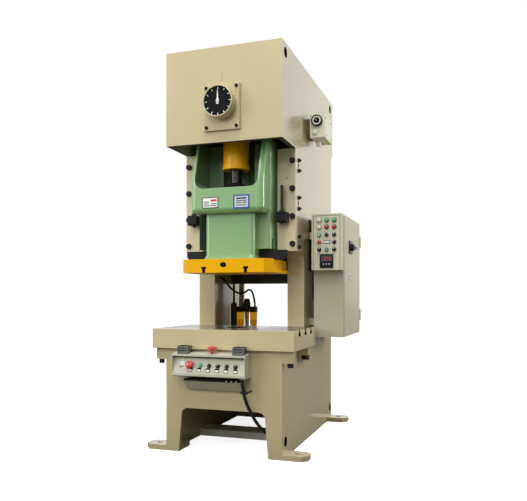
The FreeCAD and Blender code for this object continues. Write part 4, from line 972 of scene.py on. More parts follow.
class Castings:
    """The CAD nodes, merged, with rounded edges and their finishes."""

    # Body, finish and width of the edge rounding of each node.
    NODES: dict[str, tuple[str, str, float]] = {
        "frame_weldment": ("frame", "beige", 3.0),
        "bolster": ("frame", "beige", 2.5),
        "front_gib_right": ("frame", "gib", 1.2),
        "front_gib_left": ("frame", "gib", 1.2),
        "gib_bolts": ("frame", "black_steel", 1.2),
        "gib_adjusters": ("frame", "black_steel", 1.0),
        "gib_liners": ("frame", "bronze", 0.8),
        "bolster_bolts": ("frame", "black_steel", 1.2),
        "shaft_bearings": ("frame", "bronze", 1.0),
        "v_belts": ("frame", "rubber", 1.0),
        "motor": ("frame", "motor", 1.5),
        "knockout_brackets": ("frame", "black_steel", 1.5),
        "knockout_screws": ("frame", "dark_pipe", 0.8),
        "rear_top_cover": ("frame", "beige", 1.5),
        "rear_guard": ("frame", "beige", 0.6),
        "dial_plate": ("frame", "beige", 1.5),
        "gauge_box": ("frame", "air_box", 1.5),
        "air_pipe": ("frame", "dark_pipe", 1.0),
        "filter_regulator": ("frame", "zinc", 1.2),
        "air_bowls": ("frame", "amber", 1.0),
        "console_shell": ("frame", "console", 0.8),
        "console_bracket": ("frame", "grey_beige", 1.0),
        "palm_guards": ("frame", "zinc", 0.6),
        "cabinet_shell": ("frame", "grey_beige", 1.2),
        "panel_meter": ("frame", "navy", 0.8),
        "ball_seat_ring": ("slide", "black_steel", 1.5),
        "connecting_rod": ("slide", "orange", 2.0),
        "rod_cap": ("slide", "orange", 2.0),
        "knockout_bar": ("knockout", "black_steel", 2.0),
        "crankshaft": ("crank", "shaft", 2.0),
        "bull_gear": ("crank", "iron", 0.6),
        "pinion_shaft": ("pinion", "shaft", 0.6),
        "clutch_hub": ("pinion", "iron", 1.0),
        "flywheel": ("flywheel", "iron", 1.2),
        "motor_pulley": ("motor_rotor", "iron", 0.8),
        "cabinet_door": ("door", "grey_beige", 0.8),
        "isolator_base": ("door", "black", 1.2),
        "isolator_handle": ("isolator", "black", 1.5),
        "regulator_knob": ("regulator", "white", 1.0),
    }
    ZONES: dict[str, tuple[Zone, Sequence[str]]] = {
        "console_shell": (console_zone, ("console", "hood", "painted_shade_brown")),
        "console_bracket": (trough_zone, ("grey_beige", "satin_black")),
        "cabinet_shell": (panel_zone, ("grey_beige", "panel")),
        "gauge_box": (air_box_zone, ("air_box", "painted_shade_brown")),
        "filter_regulator": (filter_zone, ("dark_pipe", "grey_beige", "white")),
        "bolster": (bolster_zone, ("bolster", "plate_top", "black_steel")),
        "frame_weldment": (frame_zone, ("beige", "inside_painted_shade", "satin_black", "hood")),
        "palm_guards": (guard_zone, ("guard_steel", "satin_black")),
    }
    # Sheet parts whose flat faces stay divided into triangles.
    TRIANGLES = ("rear_top_cover", "rear_guard")

    def merged(self, node: str, zone: Zone | None) -> bmesh.types.BMesh:
        """A CAD node's mesh with its loose triangles merged into clean faces, numbered by their zone.

        Args:
            node: name of the node.
            zone: picks each face's finish.

        Returns:
            The mesh.
        """
        mesh = bmesh.new()
        mesh.from_mesh(frame["nodes"][node].data)
        bmesh.ops.remove_doubles(mesh, verts=mesh.verts, dist=CAD_WELD)
        if node not in self.TRIANGLES:
            bmesh.ops.dissolve_limit(
                mesh, angle_limit=math.radians(MERGE_BELOW), verts=mesh.verts, edges=mesh.edges)
        if zone:
            for face in mesh.faces:
                face.material_index = zone(face, *press_mm(face.calc_center_median()))
        return mesh

    def cast(self, mesh: bmesh.types.BMesh, node: str, body: str, finishes: Sequence[str], **rounding: Any
             ) -> None:
        """Replaces a node by its rounded copy.

        Args:
            mesh: the node's merged mesh.
            node: name of the node.
            body: body that it rides on.
            finishes: names of the finishes.
            rounding: terms of finish_object.
        """
        slot = next(entry["material_slot"] for entry in frame["record"]["subparts"] if entry["node"] == node)
        name = node + "_finished"
        finish_object(closed(mesh, name, finishes), name, body, slot, (node,), **rounding)

    def build(self) -> None:
        """Dresses every node of the table."""
        for node, (body, finish, bevel) in self.NODES.items():
            zone, finishes = self.ZONES.get(node, (None, (finish,)))
            segments = 2 if bevel >= 1 else 1
            self.cast(self.merged(node, zone), node, body, finishes, bevel=bevel, segments=segments)


# ---------------------------------------------------------------- crank angle dial
@dataclass
class CrankDial:
    """Crank angle dial: barrel, black face with degree marks, pointer, plate screws, index line.

    Attributes:
        bore: radius of the hole for the crank's end.
        seat: depth at which the face lies in the barrel.
        rim: width of the pale rim.
        marks: number of degree marks.
        mark: length, width and height of a mark.
        screw_inset: from the plate's edge to a screw's centre.
        index_rise: from the plate to the index line.
        index_length: length of the index line.
    """

    HUB = ((0, 0), (12, 0), (12, 4), (10, 6.5), (0, 6.8))
    SCREW = ((0, 0), (11.5, 0), (11.5, 7.5), (10, 9), (6.325, 9), (5.75, 4), (0, 4))

    bore: float = 20.0
    seat: float = 58.0
    rim: float = 10.0
    marks: int = 12
    mark: Point = (15.0, 4.2, 0.5)
    screw_inset: float = 21.5
    index_rise: float = 24.0
    index_length: float = 48.0

    def housing(self) -> None:
        """Turned barrel with its pale rim, and the black face with its ring of marks."""
        radius, depth, back = drum("dial_housing")
        lip = radius - self.rim
        barrel = ((self.bore, 0), (radius, 0), (radius, depth - 6), (radius - 1.2, depth - 2.5),
                  (radius - 4, depth - 0.4), (radius - 6.5, depth), (lip, depth - 1.5), (lip, self.seat),
                  (self.bore, self.seat))
        Piece("dial_barrel").turn(barrel, back, "beige", 96).done(
            "frame", "beige_paint", "dial_housing", smooth=35)
        radius, depth, back = drum("dial_face")
        Piece("dial_disc").turn([(self.bore, 0), (radius, 0), (radius, depth), (self.bore, depth)], back,
                                "satin_black", 96).done("frame", "dark_dial", "dial_face")
        length, width, height = self.mark
        mark = Piece("dial_marks").block((-length, -width / 2, 0), (0, width / 2, height), "white", LOCAL)
        place = Matrix.Translation(back - Vector((0, depth * MM, 0))) @ FACING
        Repeater(Layout.RING, self.marks, radius - 4).lay(mark, place, "white_pointer")

    def pointer(self) -> None:
        """Long tapered pointer with its grey hub."""
        low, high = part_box("dial_pointer")
        hub_z = middle("dial_face").z
        tip = (high.z - hub_z) / MM
        half = [(1.6, tip), (5.2, tip * 0.35), (8.8, 4), (7.8, -18)]
        outline = [(-1.6, tip), *half, (0, -22), *((-x, z) for x, z in half[:0:-1])]
        piece = Piece("crank_pointer")
        rings = [[Vector((x * MM, low.y + y * MM, hub_z + z * MM)) for x, z in outline] for y in (2, 5)]
        piece.skin(rings, "white", caps=True)
        piece.turn(self.HUB, Vector((0, low.y + 6.9 * MM, hub_z)), "zinc")
        piece.done("crank", "white_pointer", "dial_pointer", bevel=0.4)

    def screws(self) -> None:
        """Four black socket screws at the corners of the plate, and the index line above it."""
        low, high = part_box("dial_plate")
        inset = self.screw_inset * MM
        pair = Repeater(Layout.ROW, 2, step=(0, 0, (high.z - low.z - 2 * inset) / MM))
        for side, x in (("left", low.x + inset), ("right", high.x - inset)):
            head = Piece("dial_screws_" + side).turn(self.SCREW, Vector(), "black_steel", 28)
            pair.lay(head, Matrix.Translation((x, low.y, low.z + inset)), "blackened_steel")
        base = high.z / MM + self.index_rise
        top = base + self.index_length
        index = Piece("dial_index").block((-4.5, -0.6, base), (-1, 0.4, top), "index_line")
        index.block((-6, -0.6, top), (0.5, 0.4, top + 6), "index_line").done("frame", "beige_paint")

    def build(self) -> None:
        """Makes the dial."""
        self.housing()
        self.pointer()
        self.screws()


# ---------------------------------------------------------------- slide
@dataclass
class SlideDressing:
    """Rounded slide casting with its yellow flange and its two small plates.

    Attributes:
        rounding: width of the rounding at the pocket's rim.
        share: share of it on the other edges.
        face_y: the slide's front.
        plug: place of the black disc in the flange's front, for the plug and the painted shade of the hole
            round it.
    """

    # The pocket's darker green, the left way's near black and the black slots and holes are painted shade.
    FINISHES = ("green", "yellow", "black_steel", "pocket_painted_shade", "way_painted_shade")
    PLUG = ((0, 0), (17.5, 0), (17.5, 1.2), (0, 1.4))
    # Name, lower left and upper right corner, finishes of border and field, border width, printed bars.
    PLATES = (
        ("slide_plate_left", (-172, 1646), (-54, 1720), "satin_black", "white", 5,
         ((64, 44, 108, 58, "red"), (12, 14, 108, 19, "satin_black"), (12, 27, 50, 32, "satin_black"),
          (64, 27, 108, 32, "satin_black"), (12, 40, 50, 45, "satin_black"))),
        ("slide_plate_right", (53, 1634), (170, 1728), "blue", "pale_plate", 11,
         ((22, 64, 95, 74, "navy"), (22, 50, 95, 55, "navy"), (22, 38, 60, 43, "navy"),
          (70, 38, 95, 43, "navy"), (22, 22, 95, 27, "navy"))),
    )

    rounding: float = 15.0
    share: float = 0.12
    face_y: float = 60.0
    plug: Point = (-4.0, 35.0, 1262.0)

    def _on_rim(self, edge: bmesh.types.BMEdge) -> bool:
        """Whether an edge is the pocket's rim in the sloping front.

        Args:
            edge: an edge of the casting.

        Returns:
            True on the rim.
        """
        spot = press_mm((edge.verts[0].co + edge.verts[1].co) / 2)
        open_front = any(face.normal.y < -0.5 for face in edge.link_faces)
        return open_front and abs(spot.x) < POCKET_HALF and spot.z > 1780 and spot.y < 250

    def casting(self, castings: Castings) -> None:
        """The casting with its paint split at the top of the flange.

        Args:
            castings: merges and replaces CAD nodes.
        """
        mesh = castings.merged("slide", slide_zone)
        weight = mesh.edges.layers.float.new("bevel_weight_edge")
        for edge in mesh.edges:
            if len(edge.link_faces) == 2 and edge.calc_face_angle(0.0) > math.radians(30):
                edge[weight] = 1.0 if self._on_rim(edge) else self.share
        castings.cast(mesh, "slide", "slide", self.FINISHES, bevel=self.rounding, segments=4, limit="WEIGHT")

    def plates(self) -> None:
        """Two small plates with a border, a pale field and plain printed bars."""
        face = self.face_y
        for name, (x, z), (right, top), border, field, edge, bars in self.PLATES:
            piece = Piece(name).block((x, face - 1.5, z), (right, face, top), border)
            piece.block((x + edge, face - 2, z + edge), (right - edge, face - 1.2, top - edge), field)
            for x0, z0, x1, z1, finish in bars:
                piece.block((x + x0, face - 2.3, z + z0), (x + x1, face - 1.9, z + z1), finish)
            piece.done("slide", "white_pointer", bevel=0.4)

    def build(self, castings: Castings) -> None:
        """Makes the slide's pieces.

        Args:
            castings: merges and replaces CAD nodes.
        """
        self.casting(castings)
        # Black disc for the plug and the painted shade of the hole round it.
        plug = Piece("flange_plug").turn(self.PLUG, at(*self.plug), "satin_black", 32)
        plug.done("slide", "blackened_steel")
        self.plates()


# ---------------------------------------------------------------- adjusting screw
@dataclass
class AdjustingScrew:
    """Threaded ball screw under the connecting rod.

    Attributes:
        radius: radius over the thread.
        pitch: pitch of the thread.
        depth: depth of the thread.
        segments: faces round the screw.
    """

    # Share of the pitch, and 1 on the crest or 0 in the root.
    WAVE = ((0.0, 1.0), (0.25, 1.0), (0.5, 0.0), (0.75, 0.0))
    BALL = ((0, 0), (38, 12), (56, 40), (59.8, 62), (56, 80))

    radius: float = 44.0
    pitch: float = 9.0
    depth: float = 3.2
    segments: int = 72

    def build(self) -> None:
        """Makes the screw as one helical surface over its plain shank."""
        low, high = (corner.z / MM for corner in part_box("ball_screw"))
        ring_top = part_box("ball_seat_ring")[1].z / MM
        top = high - 12
        centre = middle("ball_screw")
        place = Matrix.Translation((centre.x, centre.y, 0))
        grid = []
        for row in range(int((top - ring_top) / self.pitch) * len(self.WAVE) + 1):
            share, crest = self.WAVE[row % len(self.WAVE)]
            reach = self.radius - self.depth * (1.0 - crest)
            ring = []
            for step in range(self.segments + 1):
                angle = 2 * math.pi * step / self.segments
                height = ring_top + (row // len(self.WAVE) + share + step / self.segments) * self.pitch
                height = min(top, max(ring_top - 4, height))
                spot = Vector((reach * math.cos(angle), reach * math.sin(angle), height))
                ring.append(place @ (spot * MM))
            grid.append(ring)
        piece = Piece("screw_thread")
        piece.skin(grid, "gunmetal", around=False)
        core = self.radius - self.depth - 0.5
        shank = [(radius, low + height) for radius, height in self.BALL]
        shank += [(self.radius, low + 96), (self.radius, ring_top - 2), (core, ring_top + 2), (core, top),
                  (core - 2, high), (0, high)]
        piece.turn(shank, place.translation, "gunmetal", self.segments, UP)
        bmesh.ops.remove_doubles(piece.mesh, verts=piece.mesh.verts, dist=THREAD_WELD)
        piece.done("slide", "machined_steel", "ball_screw", smooth=50)


# ---------------------------------------------------------------- guides
@dataclass
class Guides:
    """Black stop bars between the gib adjusters.

    Attributes:
        pairs: heights of the adjuster pairs.
        bar_y: centre of the bars.
        bar_width: width of a bar.
        bar_depth: how far a bar stands out.
        clear: from an adjuster's centre to the bar's end.
    """

    pairs: Profile = ((1396, 1468), (1662, 1739), (1927, 2000))
    bar_y: float = 394.0
    bar_width: float = 9.0
    bar_depth: float = 3.0
    clear: float = 22.0

    def build(self) -> None:
        """Makes the bars of both sides."""
        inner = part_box("front_gib_right")[1].x / MM
        for side, name in ((-1, "left"), (1, "right")):
            piece = Piece("gib_lock_bars_" + name)
            near, far = sorted((side * inner, side * (inner + self.bar_depth)))
            for low, high in self.pairs:
                piece.block((near, self.bar_y - self.bar_width / 2, low + self.clear),
                            (far, self.bar_y + self.bar_width / 2, high - self.clear), "black_steel")
            piece.done("frame", "blackened_steel", bevel=0.6)


# ---------------------------------------------------------------- console
@dataclass
class Console:
    """Two-hand console: buttons, selectors, label plates and perforated palm guards.

    Attributes:
        controls: X of the controls on the sloped panel.
        control_z: their height.
        palm_x: X of the two palm buttons.
        estop_x: X of the emergency stop.
        top_y: Y of the controls on top.
        panel_top: Y and height of the panel's upper edge.
        panel_base: Y and height of its lower edge.
        grip_turn: turn of the selectors' grips, in degrees.
    """

    STOP = ((0, 0), (14.5, 0), (14.5, 6), (11, 10), (13, 14), (24, 16), (26.8, 18.5), (26.5, 21.5), (22, 27),
            (13, 30), (0, 31))
    START = ((0, 0), (10.8, 0), (10.8, 9.5), (9.8, 11), (0, 11.7))
    COLLAR = ((11, 0.2), (15.2, 0.2), (15.2, 4), (14, 6.2), (12.2, 6.8), (11, 6))
    SELECTOR = ((0, 0), (14.6, 0), (14.6, 5), (13.5, 7.5), (10.5, 8.5), (10.5, 12), (0, 12.5))
    SHANK = ((0, -20), (8.8, -20), (8.8, 7.5))
    ESTOP = (*SHANK, (12.5, 9.5), (15, 18), (23.5, 24.5), (32.5, 27.5), (34.8, 30), (34, 32.5), (26, 37.5),
             (0, 43.8))
    PALM = (*SHANK, (14.5, 14), (26.5, 20), (28, 23.5), (26.2, 27.5), (18, 32.5), (0, 33.8))
    BOLT = ((0, 0), (6.5, 0), (6.5, 3), (4.5, 5.5), (0, 6))
    HOLE = ((0, 0), (5, 0), (5, 0.4), (0, 0.4))
    # Name, corners, finish and slot of what is repeated under the controls.
    LABELS = (
        ("console_label_holders", (-15, -11, 0), (15, 16, 1), "satin_black", "black_plastic"),
        ("console_labels", (-11.8, -8, 0.8), (11.8, 6.6, 1.8), "white", "white_pointer"),
    )

    controls: tuple[float, ...] = (-191.0, -121.0, -58.0, 4.0, 65.0, 127.0)
    control_z: float = 598.0
    palm_x: tuple[float, float] = (-242.0, 148.0)
    estop_x: float = -45.0
    top_y: float = -70.0
    panel_top: tuple[float, float] = (-72.0, 646.0)
    panel_base: tuple[float, float] = (-101.0, 540.0)
    grip_turn: float = 38.0

    def panel(self, x: float, up: float = 0.0) -> Matrix:
        """Placement on the sloped panel: local Z points out of it and local Y up it.

        Args:
            x: X of the place.
            up: height over the controls.

        Returns:
            The placement.
        """
        (top_y, top_z), (base_y, base_z) = self.panel_top, self.panel_base
        z = self.control_z + up
        y = top_y + (base_y - top_y) * (top_z - z) / (top_z - base_z)
        lean = math.atan2(top_y - base_y, top_z - base_z)
        return Matrix.Translation(at(x, y, z)) @ Matrix.Rotation(math.pi / 2 - lean, 4, "X")

    def _on_panel(self, name: str, x: float, profile: Profile, finish: str) -> Piece:
        """Turned form square to the panel at one control's place."""
        place = self.panel(x)
        return Piece(name).turn(profile, place.translation, finish, 48, place.to_3x3() @ Vector(UP))

    def front_controls(self) -> None:
        """Mushroom stop, green start button with its collar, and four rotary switches with grip bars."""
        stop, start = self.controls[:2]
        self._on_panel("console_stop_cap", stop, self.STOP, "red").done("stop", "red_plastic", "console_stop",
                                                                        smooth=45)
        self._on_panel("console_start_cap", start, self.START, "green_cap").done(
            "start", "green_plastic", "console_start", smooth=45)
        self._on_panel("console_start_collar", start, self.COLLAR, "green_cap").done("frame", "green_plastic",
                                                                                     smooth=45)
        for number, x in enumerate(self.controls[2:], start=1):
            piece = self._on_panel("console_selector_grip_%d" % number, x, self.SELECTOR, "black")
            turn = math.radians(self.grip_turn if number % 2 else -self.grip_turn)
            place = self.panel(x) @ Matrix.Rotation(turn, 4, "Z")
            piece.block((-4, -12.5, 8), (4, 12.5, 18.5), "black", place)
            piece.block((-1.6, 0, 18.4), (1.6, 12.2, 18.8), "white", place)
            piece.done("selector_%d" % number, "black_plastic", "console_selector_%d" % number, bevel=0.8)

    def labels(self) -> None:
        """White label plates under the controls, the pale plate at the left end and the trough's bolts."""
        first, last = self.controls[0], self.controls[-1]
        row = Repeater(Layout.ROW, len(self.controls), step=((last - first) / (len(self.controls) - 1), 0, 0))
        for name, low, high, finish, slot in self.LABELS:
            row.lay(Piece(name).block(low, high, finish, LOCAL), self.panel(first, -31), slot, 0.3)
        end = Piece("console_end_plate").block((-16, -13, 0), (16, 13, 1), "white", self.panel(-250, 14))
        end.block((-14.5, -4, 0), (14.5, 4, 1.2), "deep_red", self.panel(-256, -11))
        end.done("frame", "white_pointer", bevel=0.3)
        bolt = Piece("trough_bolts").turn(self.BOLT, Vector(), "zinc", 20)
        Repeater(Layout.ROW, 3, step=(34, 0, 0)).lay(bolt, Matrix.Translation(at(66, -92, 502)), "galvanised")

    def top_controls(self) -> None:
        """Flared emergency stop and domed palm buttons in perforated grey shrouds, whose holes are black
        discs as painted shade.
        """
        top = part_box("console_shell")[1].z / MM
        Piece("console_estop_cap").turn(self.ESTOP, at(self.estop_x, self.top_y, top), "red", 56, UP).done(
            "estop", "red_plastic", "console_estop", smooth=45)
        sides = tuple(zip(self.palm_x, ("left", "right")))
        for x, side in sides:
            Piece("palm_cap_" + side).turn(self.PALM, at(x, self.top_y, top), "black", 56, UP).done(
                "palm_" + side, "black_plastic", "palm_button_" + side, smooth=45)
        low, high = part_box("palm_guards")
        # The shrouds' holes are flat black discs, painted shade.
        row = Repeater(Layout.ROW, 4, step=(15, 0, 0))
        for x, side in sides:
            for name, down in (("top_", 14), ("low_", 30)):
                hole = Piece("palm_guard_holes_" + name + side).turn(self.HOLE, Vector(), "satin_black", 16)
                spot = ((x - 22.5) * MM, low.y - 0.1 * MM, high.z - down * MM)
                row.lay(hole, Matrix.Translation(spot), "black_plastic")

    def build(self) -> None:
        """Makes the console's pieces."""
        self.front_controls()
        self.labels()
        self.top_controls()


# ---------------------------------------------------------------- cabinet
@dataclass
class Cabinet:
    """Operator box with its lamps, switches and meter, the cabinet's locks, and black sheets that paint the
    shade in the gap beside it.

    Attributes:
        columns: X of the control columns.
        rows: heights of the control rows.
        lamps: column, row and finish of the lamps.
        selectors: column, row and turn in degrees of the rotary switches.
        inset: corners of the groove round the operator panel.
        groove: width of the groove.
        reading: the meter's digits.
        locks: Y and height of the door's locks.
    """

    LAMP_RIM = ((0, 0), (17.8, 0), (17.8, 2), (16.5, 2.6), (0, 2.6))
    LAMP = ((0, 2), (15.8, 2), (15.8, 8), (14, 12.5), (9, 15), (0, 16))
    SELECTOR = ((0, 0), (15, 0), (15, 5), (13.8, 7.5), (10, 8), (10, 8.5), (0, 8.5))
    SELECTOR_RING = ((15.6, 0), (17.6, 0), (17.6, 1.4), (15.6, 1.4))
    TEAL = ((0, 0), (15, 0), (15, 4), (12.5, 5.5), (12.5, 10.5), (10.5, 12), (0, 12))
    CAP = ((0, -12), (8.8, -12), (8.8, 5.6), (11.2, 5.6), (11.2, 12.8), (10.2, 14.5), (7.5, 14.9), (0, 14.9))
    CAP_DISC = ((0, 14), (7, 14), (7, 15.3), (0, 15.3))
    CAP_RING = ((11.4, 0), (16, 0), (16, 4), (14.5, 6.5), (12, 7.2), (11.4, 6))
    KEY_BARREL = ((0, 0), (15, 0), (15, 6), (14, 8), (8.5, 11.5), (0, 11.8))
    KEY_HEAD = ((0, -1.3), (10.5, -1.3), (10.5, 1.3), (0, 1.3))
    METER_KEY = ((0, 0), (5.2, 0), (5.2, 2), (4.2, 2.8), (0, 2.8))
    LOCK = ((0, 0), (12.5, 0), (12.5, 2.8), (10.5, 4.5), (6, 4.5), (5, 1.5), (0, 1.5))
    # Name, row, body, slot, and finishes of cap, disc and ring.
    BUTTONS = (
        ("operator_start", 2, "panel_start", "green_plastic", "green_cap", "white", "green_cap"),
        ("operator_stop", 3, "panel_stop", "red_plastic", "red", "deep_red", "pink"),
    )
    # Bars of a digit: top, base, upper and lower left, upper and lower right, middle.
    BARS = ((0, 18.4, 10.5, 21), (0, 0, 10.5, 2.6), (0, 10.5, 2.6, 21), (0, 0, 2.6, 10.5),
            (7.9, 10.5, 10.5, 21), (7.9, 0, 10.5, 10.5), (0, 9.2, 10.5, 11.8))
    LIT = {0: (0, 1, 2, 3, 4, 5), 1: (4, 5), 8: (0, 1, 2, 3, 4, 5, 6)}

    columns: tuple[float, ...] = (528.0, 582.0, 636.0)
    rows: tuple[float, ...] = (1593.0, 1544.0, 1488.0, 1437.0, 1383.0)
    lamps: tuple[tuple[int, int, str], ...] = (
        (0, 0, "white"), (1, 0, "green_cap"), (2, 0, "green_cap"), (0, 1, "white"), (1, 1, "deep_red"),
        (2, 1, "deep_red"))
    selectors: tuple[tuple[int, int, float], ...] = ((2, 2, 0.0), (2, 3, 0.0), (0, 4, 35.0), (2, 4, 0.0))
    inset: tuple[float, ...] = (483.0, 1228.0, 679.0, 1627.0)
    groove: float = 3.0
    reading: tuple[int, ...] = (1, 0, 8, 0)
    locks: Profile = ((806, 1211), (834, 1179))

    def _spot(self, column: int, row: int) -> Vector:
        """Centre of a control on the operator panel."""
        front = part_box("panel_meter")[0].y + 12 * MM
        return Vector((self.columns[column] * MM, front, self.rows[row] * MM))

    def _place(self, column: int, row: int, turn: float = 0.0) -> Matrix:
        """Placement of a control, turned by degrees about its axis."""
        return Matrix.Translation(self._spot(column, row)) @ Matrix.Rotation(math.radians(turn), 4, "Y")

    def fixed_controls(self) -> None:
        """Six domed lamps, four rotary switches, the teal button, and the white marks, as one piece."""
        piece = Piece("operator_lamps")
        for column, row, finish in self.lamps:
            spot = self._spot(column, row)
            piece.turn(self.LAMP_RIM, spot, "satin_black").turn(self.LAMP, spot, finish)
        for column, row, turn in self.selectors:
            spot, place = self._spot(column, row), self._place(column, row, turn)
            piece.turn(self.SELECTOR, spot, "black")
            piece.block((-4.2, -21.5, -13.5), (4.2, -6, 13.5), "black", place)
            piece.block((-1.6, -21.9, 0), (1.6, -21.4, 13.2), "white", place)
            piece.turn(self.SELECTOR_RING, spot, "pale_plate")
        piece.block((-24, -2, -26), (-6, 0, -12), "white", self._place(0, 4))
        piece.turn(self.TEAL, self._spot(1, 4), "teal")
        piece.block((-9.5, -12.6, -1.8), (9.5, -11.5, 1.8), "white", self._place(1, 4, 40))
        piece.block((-25, -3.5, -10.5), (25, 0, 10.5), "satin_black", self._place(1, 3))
        piece.block((-23, -4.5, -7), (23, -3, 7), "white", self._place(1, 3))
        piece.done("frame", "galvanised", "operator_bezels", bevel=0.5)

    def push_buttons(self) -> None:
        """The green and the red push button, and the key switch."""
        for name, row, body, slot, finish, disc, ring in self.BUTTONS:
            spot = self._spot(0, row)
            Piece(name + "_cap").turn(self.CAP, spot, finish).turn(self.CAP_DISC, spot, disc).done(
                body, slot, name, smooth=45)
            Piece(name + "_ring").turn(self.CAP_RING, spot, ring).done("frame", slot, smooth=45)
        spot = self._spot(1, 2)
        key = Piece("key_switch_barrel").turn(self.KEY_BARREL, spot, "gunmetal")
        key.block((-1.2, -20, -3.5), (1.2, -10, 3.5), "zinc", self._place(1, 2))
        key.turn(self.KEY_HEAD, spot - Vector((0, 23.5 * MM, 0)), "black", 24, RIGHT)
        key.done("panel_key", "machined_steel", "key_switch", bevel=0.3)

    def inset_line(self) -> None:
        """Fine dark groove round the operator panel."""
        left, low, right, high = self.inset
        wide = self.groove
        piece = Piece("operator_inset_line")
        for x0, z0, x1, z1 in ((left, low, right, low + wide), (left, high - wide, right, high),
                               (left, low + wide, left + wide, high - wide),
                               (right - wide, low + wide, right, high - wide)):
            piece.block((x0, 534.6, z0), (x1, 535.4, z1), "groove")
        piece.done("frame", "grey_paint")

    def meter(self) -> None:
        """Black counter with a red read-out and three small keys."""
        low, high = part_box("panel_meter")
        width = (high.x - low.x) / MM
        corner = Matrix.Translation((low.x, low.y, high.z))
        Piece("meter_window").block((10, -0.6, -52), (width - 10, 1, -14), "window", corner).done(
            "frame", "black_plastic", bevel=0.4)
        digits = Piece("meter_digits")
        for number, value in enumerate(self.reading):
            left = width * (0.23 + 0.155 * number)
            for bar in self.LIT[value]:
                x0, z0, x1, z1 = self.BARS[bar]
                digits.block((left + x0, -0.9, z0 - 44), (left + x1, -0.3, z1 - 44), "glow", corner)
        digits.done("frame", "red_plastic")
        key = Piece("meter_keys").turn(self.METER_KEY, Vector(), "zinc", 24)
        spot = (low.x + (width / 2 - 21) * MM, low.y, low.z + 26 * MM)
        Repeater(Layout.ROW, 3, step=(21, 0, 0)).lay(key, Matrix.Translation(spot), "galvanised")

    def door(self) -> None:
        """Two quarter-turn locks on the door, and black sheets on the side plate in the gap beside the
        cabinet, as painted shade.
        """
        locks = Piece("door_locks")
        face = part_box("isolator_base")[1].x / MM - 8
        for y, z in self.locks:
            locks.turn(self.LOCK, at(face, y, z), "zinc", 32, RIGHT)
        locks.done("door", "galvanised")
        # Black sheets on the side plate where it shows in the gap: painted shade.
        gap_shades = Piece("cabinet_seals").block((413.1, 684, 1236), (416, 960, 1622), "satin_black")
        gap_shades.block((413.1, 804, 1020), (416, 960, 1236), "satin_black").done("frame", "black_plastic")

    def build(self) -> None:
        """Makes the cabinet's pieces."""
        self.fixed_controls()
        self.push_buttons()
        self.inset_line()
        self.meter()
        self.door()


# ---------------------------------------------------------------- air box
@dataclass
class AirBox:
    """Pressure gauge with a scalloped bezel, the box's small controls and the air unit's scale.

    Attributes:
        scallops: number of scallops of the bezel.
        bezel: radius of the bezel.
        needle: turn of the needle, in degrees.
        screws: Y and height of the screws in the box's side.
        button: place of the button under the gauge.
        scale: place of the lowest mark of the regulator's scale.
    """

    LOBE = ((0, 0), (3.2, 0), (3.2, 10), (0, 11.5))
    HUB = ((0, 0), (19, 0), (19, 1.6), (0, 1.6))
    HUB_LOBE = ((0, 0), (4.2, 0), (4.2, 1.4), (0, 1.4))
    BUTTON = ((0, 0), (18.5, 0), (18.5, 4), (16.5, 6), (13.5, 6), (13.5, 10), (11.5, 12), (0, 12.2))
    SCREW = ((0, 0), (5, 0), (5, 1.5), (3.5, 2.6), (0, 2.8))

    scallops: int = 24
    bezel: float = 42.0
    needle: float = -40.0
    screws: Profile = ((640, 2350), (805, 2350), (640, 2226), (805, 2226))
    button: Point = (479.0, 600.0, 2240.0)
    scale: Point = (-226.0, 1078.0, 826.0)

    def gauge(self) -> None:
        """Black bezel, scallops, pale face, lobed hub, marks and needle."""
        _, depth, back = drum("pressure_gauge")
        rim = self.bezel

        def inward(depth_in: float) -> Matrix:
            """Placement on the gauge's axis, at a depth from its front."""
            return Matrix.Translation(back - Vector((0, (depth - depth_in) * MM, 0)))

        case = ((0, 0), (rim - 3, 0), (rim - 2, depth - 8), (rim - 4, depth - 2), (rim - 8, depth),
                (rim - 10, depth - 2), (rim - 10, depth - 5), (0, depth - 5))
        Piece("gauge_case").turn(case, back, "black", 72).done("frame", "black_plastic", "pressure_gauge")
        lobe = Piece("gauge_scallops").turn(self.LOBE, Vector(), "black", 12, UP)
        Repeater(Layout.RING, self.scallops, rim - 3.2).lay(lobe, inward(12.5) @ FACING, "black_plastic")
        spot = inward(4.5).translation
        disc = ((0, 0), (rim - 10.5, 0), (rim - 10.5, 0.6), (0, 0.6))
        face = Piece("gauge_face").turn(disc, spot, "white", 56)
        needle = inward(2) @ Matrix.Rotation(math.radians(self.needle), 4, "Y")
        face.turn(self.HUB, spot, "satin_black").block((-0.9, -0.4, -6), (0.9, 0.4, 17), "white", needle)
        face.done("frame", "white_pointer")
        lobe = Piece("gauge_hub_lobes").turn(self.HUB_LOBE, Vector(), "satin_black", 16, UP)
        Repeater(Layout.RING, 10, 20).lay(lobe, inward(4.3) @ FACING, "dark_dial")
        mark = Piece("gauge_marks").block((-3, -0.5, 0), (0, 0.5, 0.3), "satin_black", LOCAL)
        Repeater(Layout.RING, 30, rim - 13).lay(mark, inward(3.8) @ FACING, "dark_dial")

    def small_parts(self) -> None:
        """Round push button under the gauge, screws in the box's side, and the regulator's dark marks."""
        Piece("air_box_button").turn(self.BUTTON, at(*self.button), "white").done(
            "frame", "white_pointer", smooth=45)
        side = Piece("air_box_screws")
        for y, z in self.screws:
            side.turn(self.SCREW, at(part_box("gauge_box")[1].x / MM, y, z), "black_steel", 20, RIGHT)
        side.done("frame", "blackened_steel", smooth=45)
        mark = Piece("regulator_scale").block((-7, -0.8, 0), (7, 0.8, 4), "satin_black", LOCAL)
        row = Repeater(Layout.ROW, 6, step=(0, 0, 17))
        row.lay(mark, Matrix.Translation(at(*self.scale)), "black_plastic")

    def build(self) -> None:
        """Makes the air box's pieces."""
        self.gauge()
        self.small_parts()


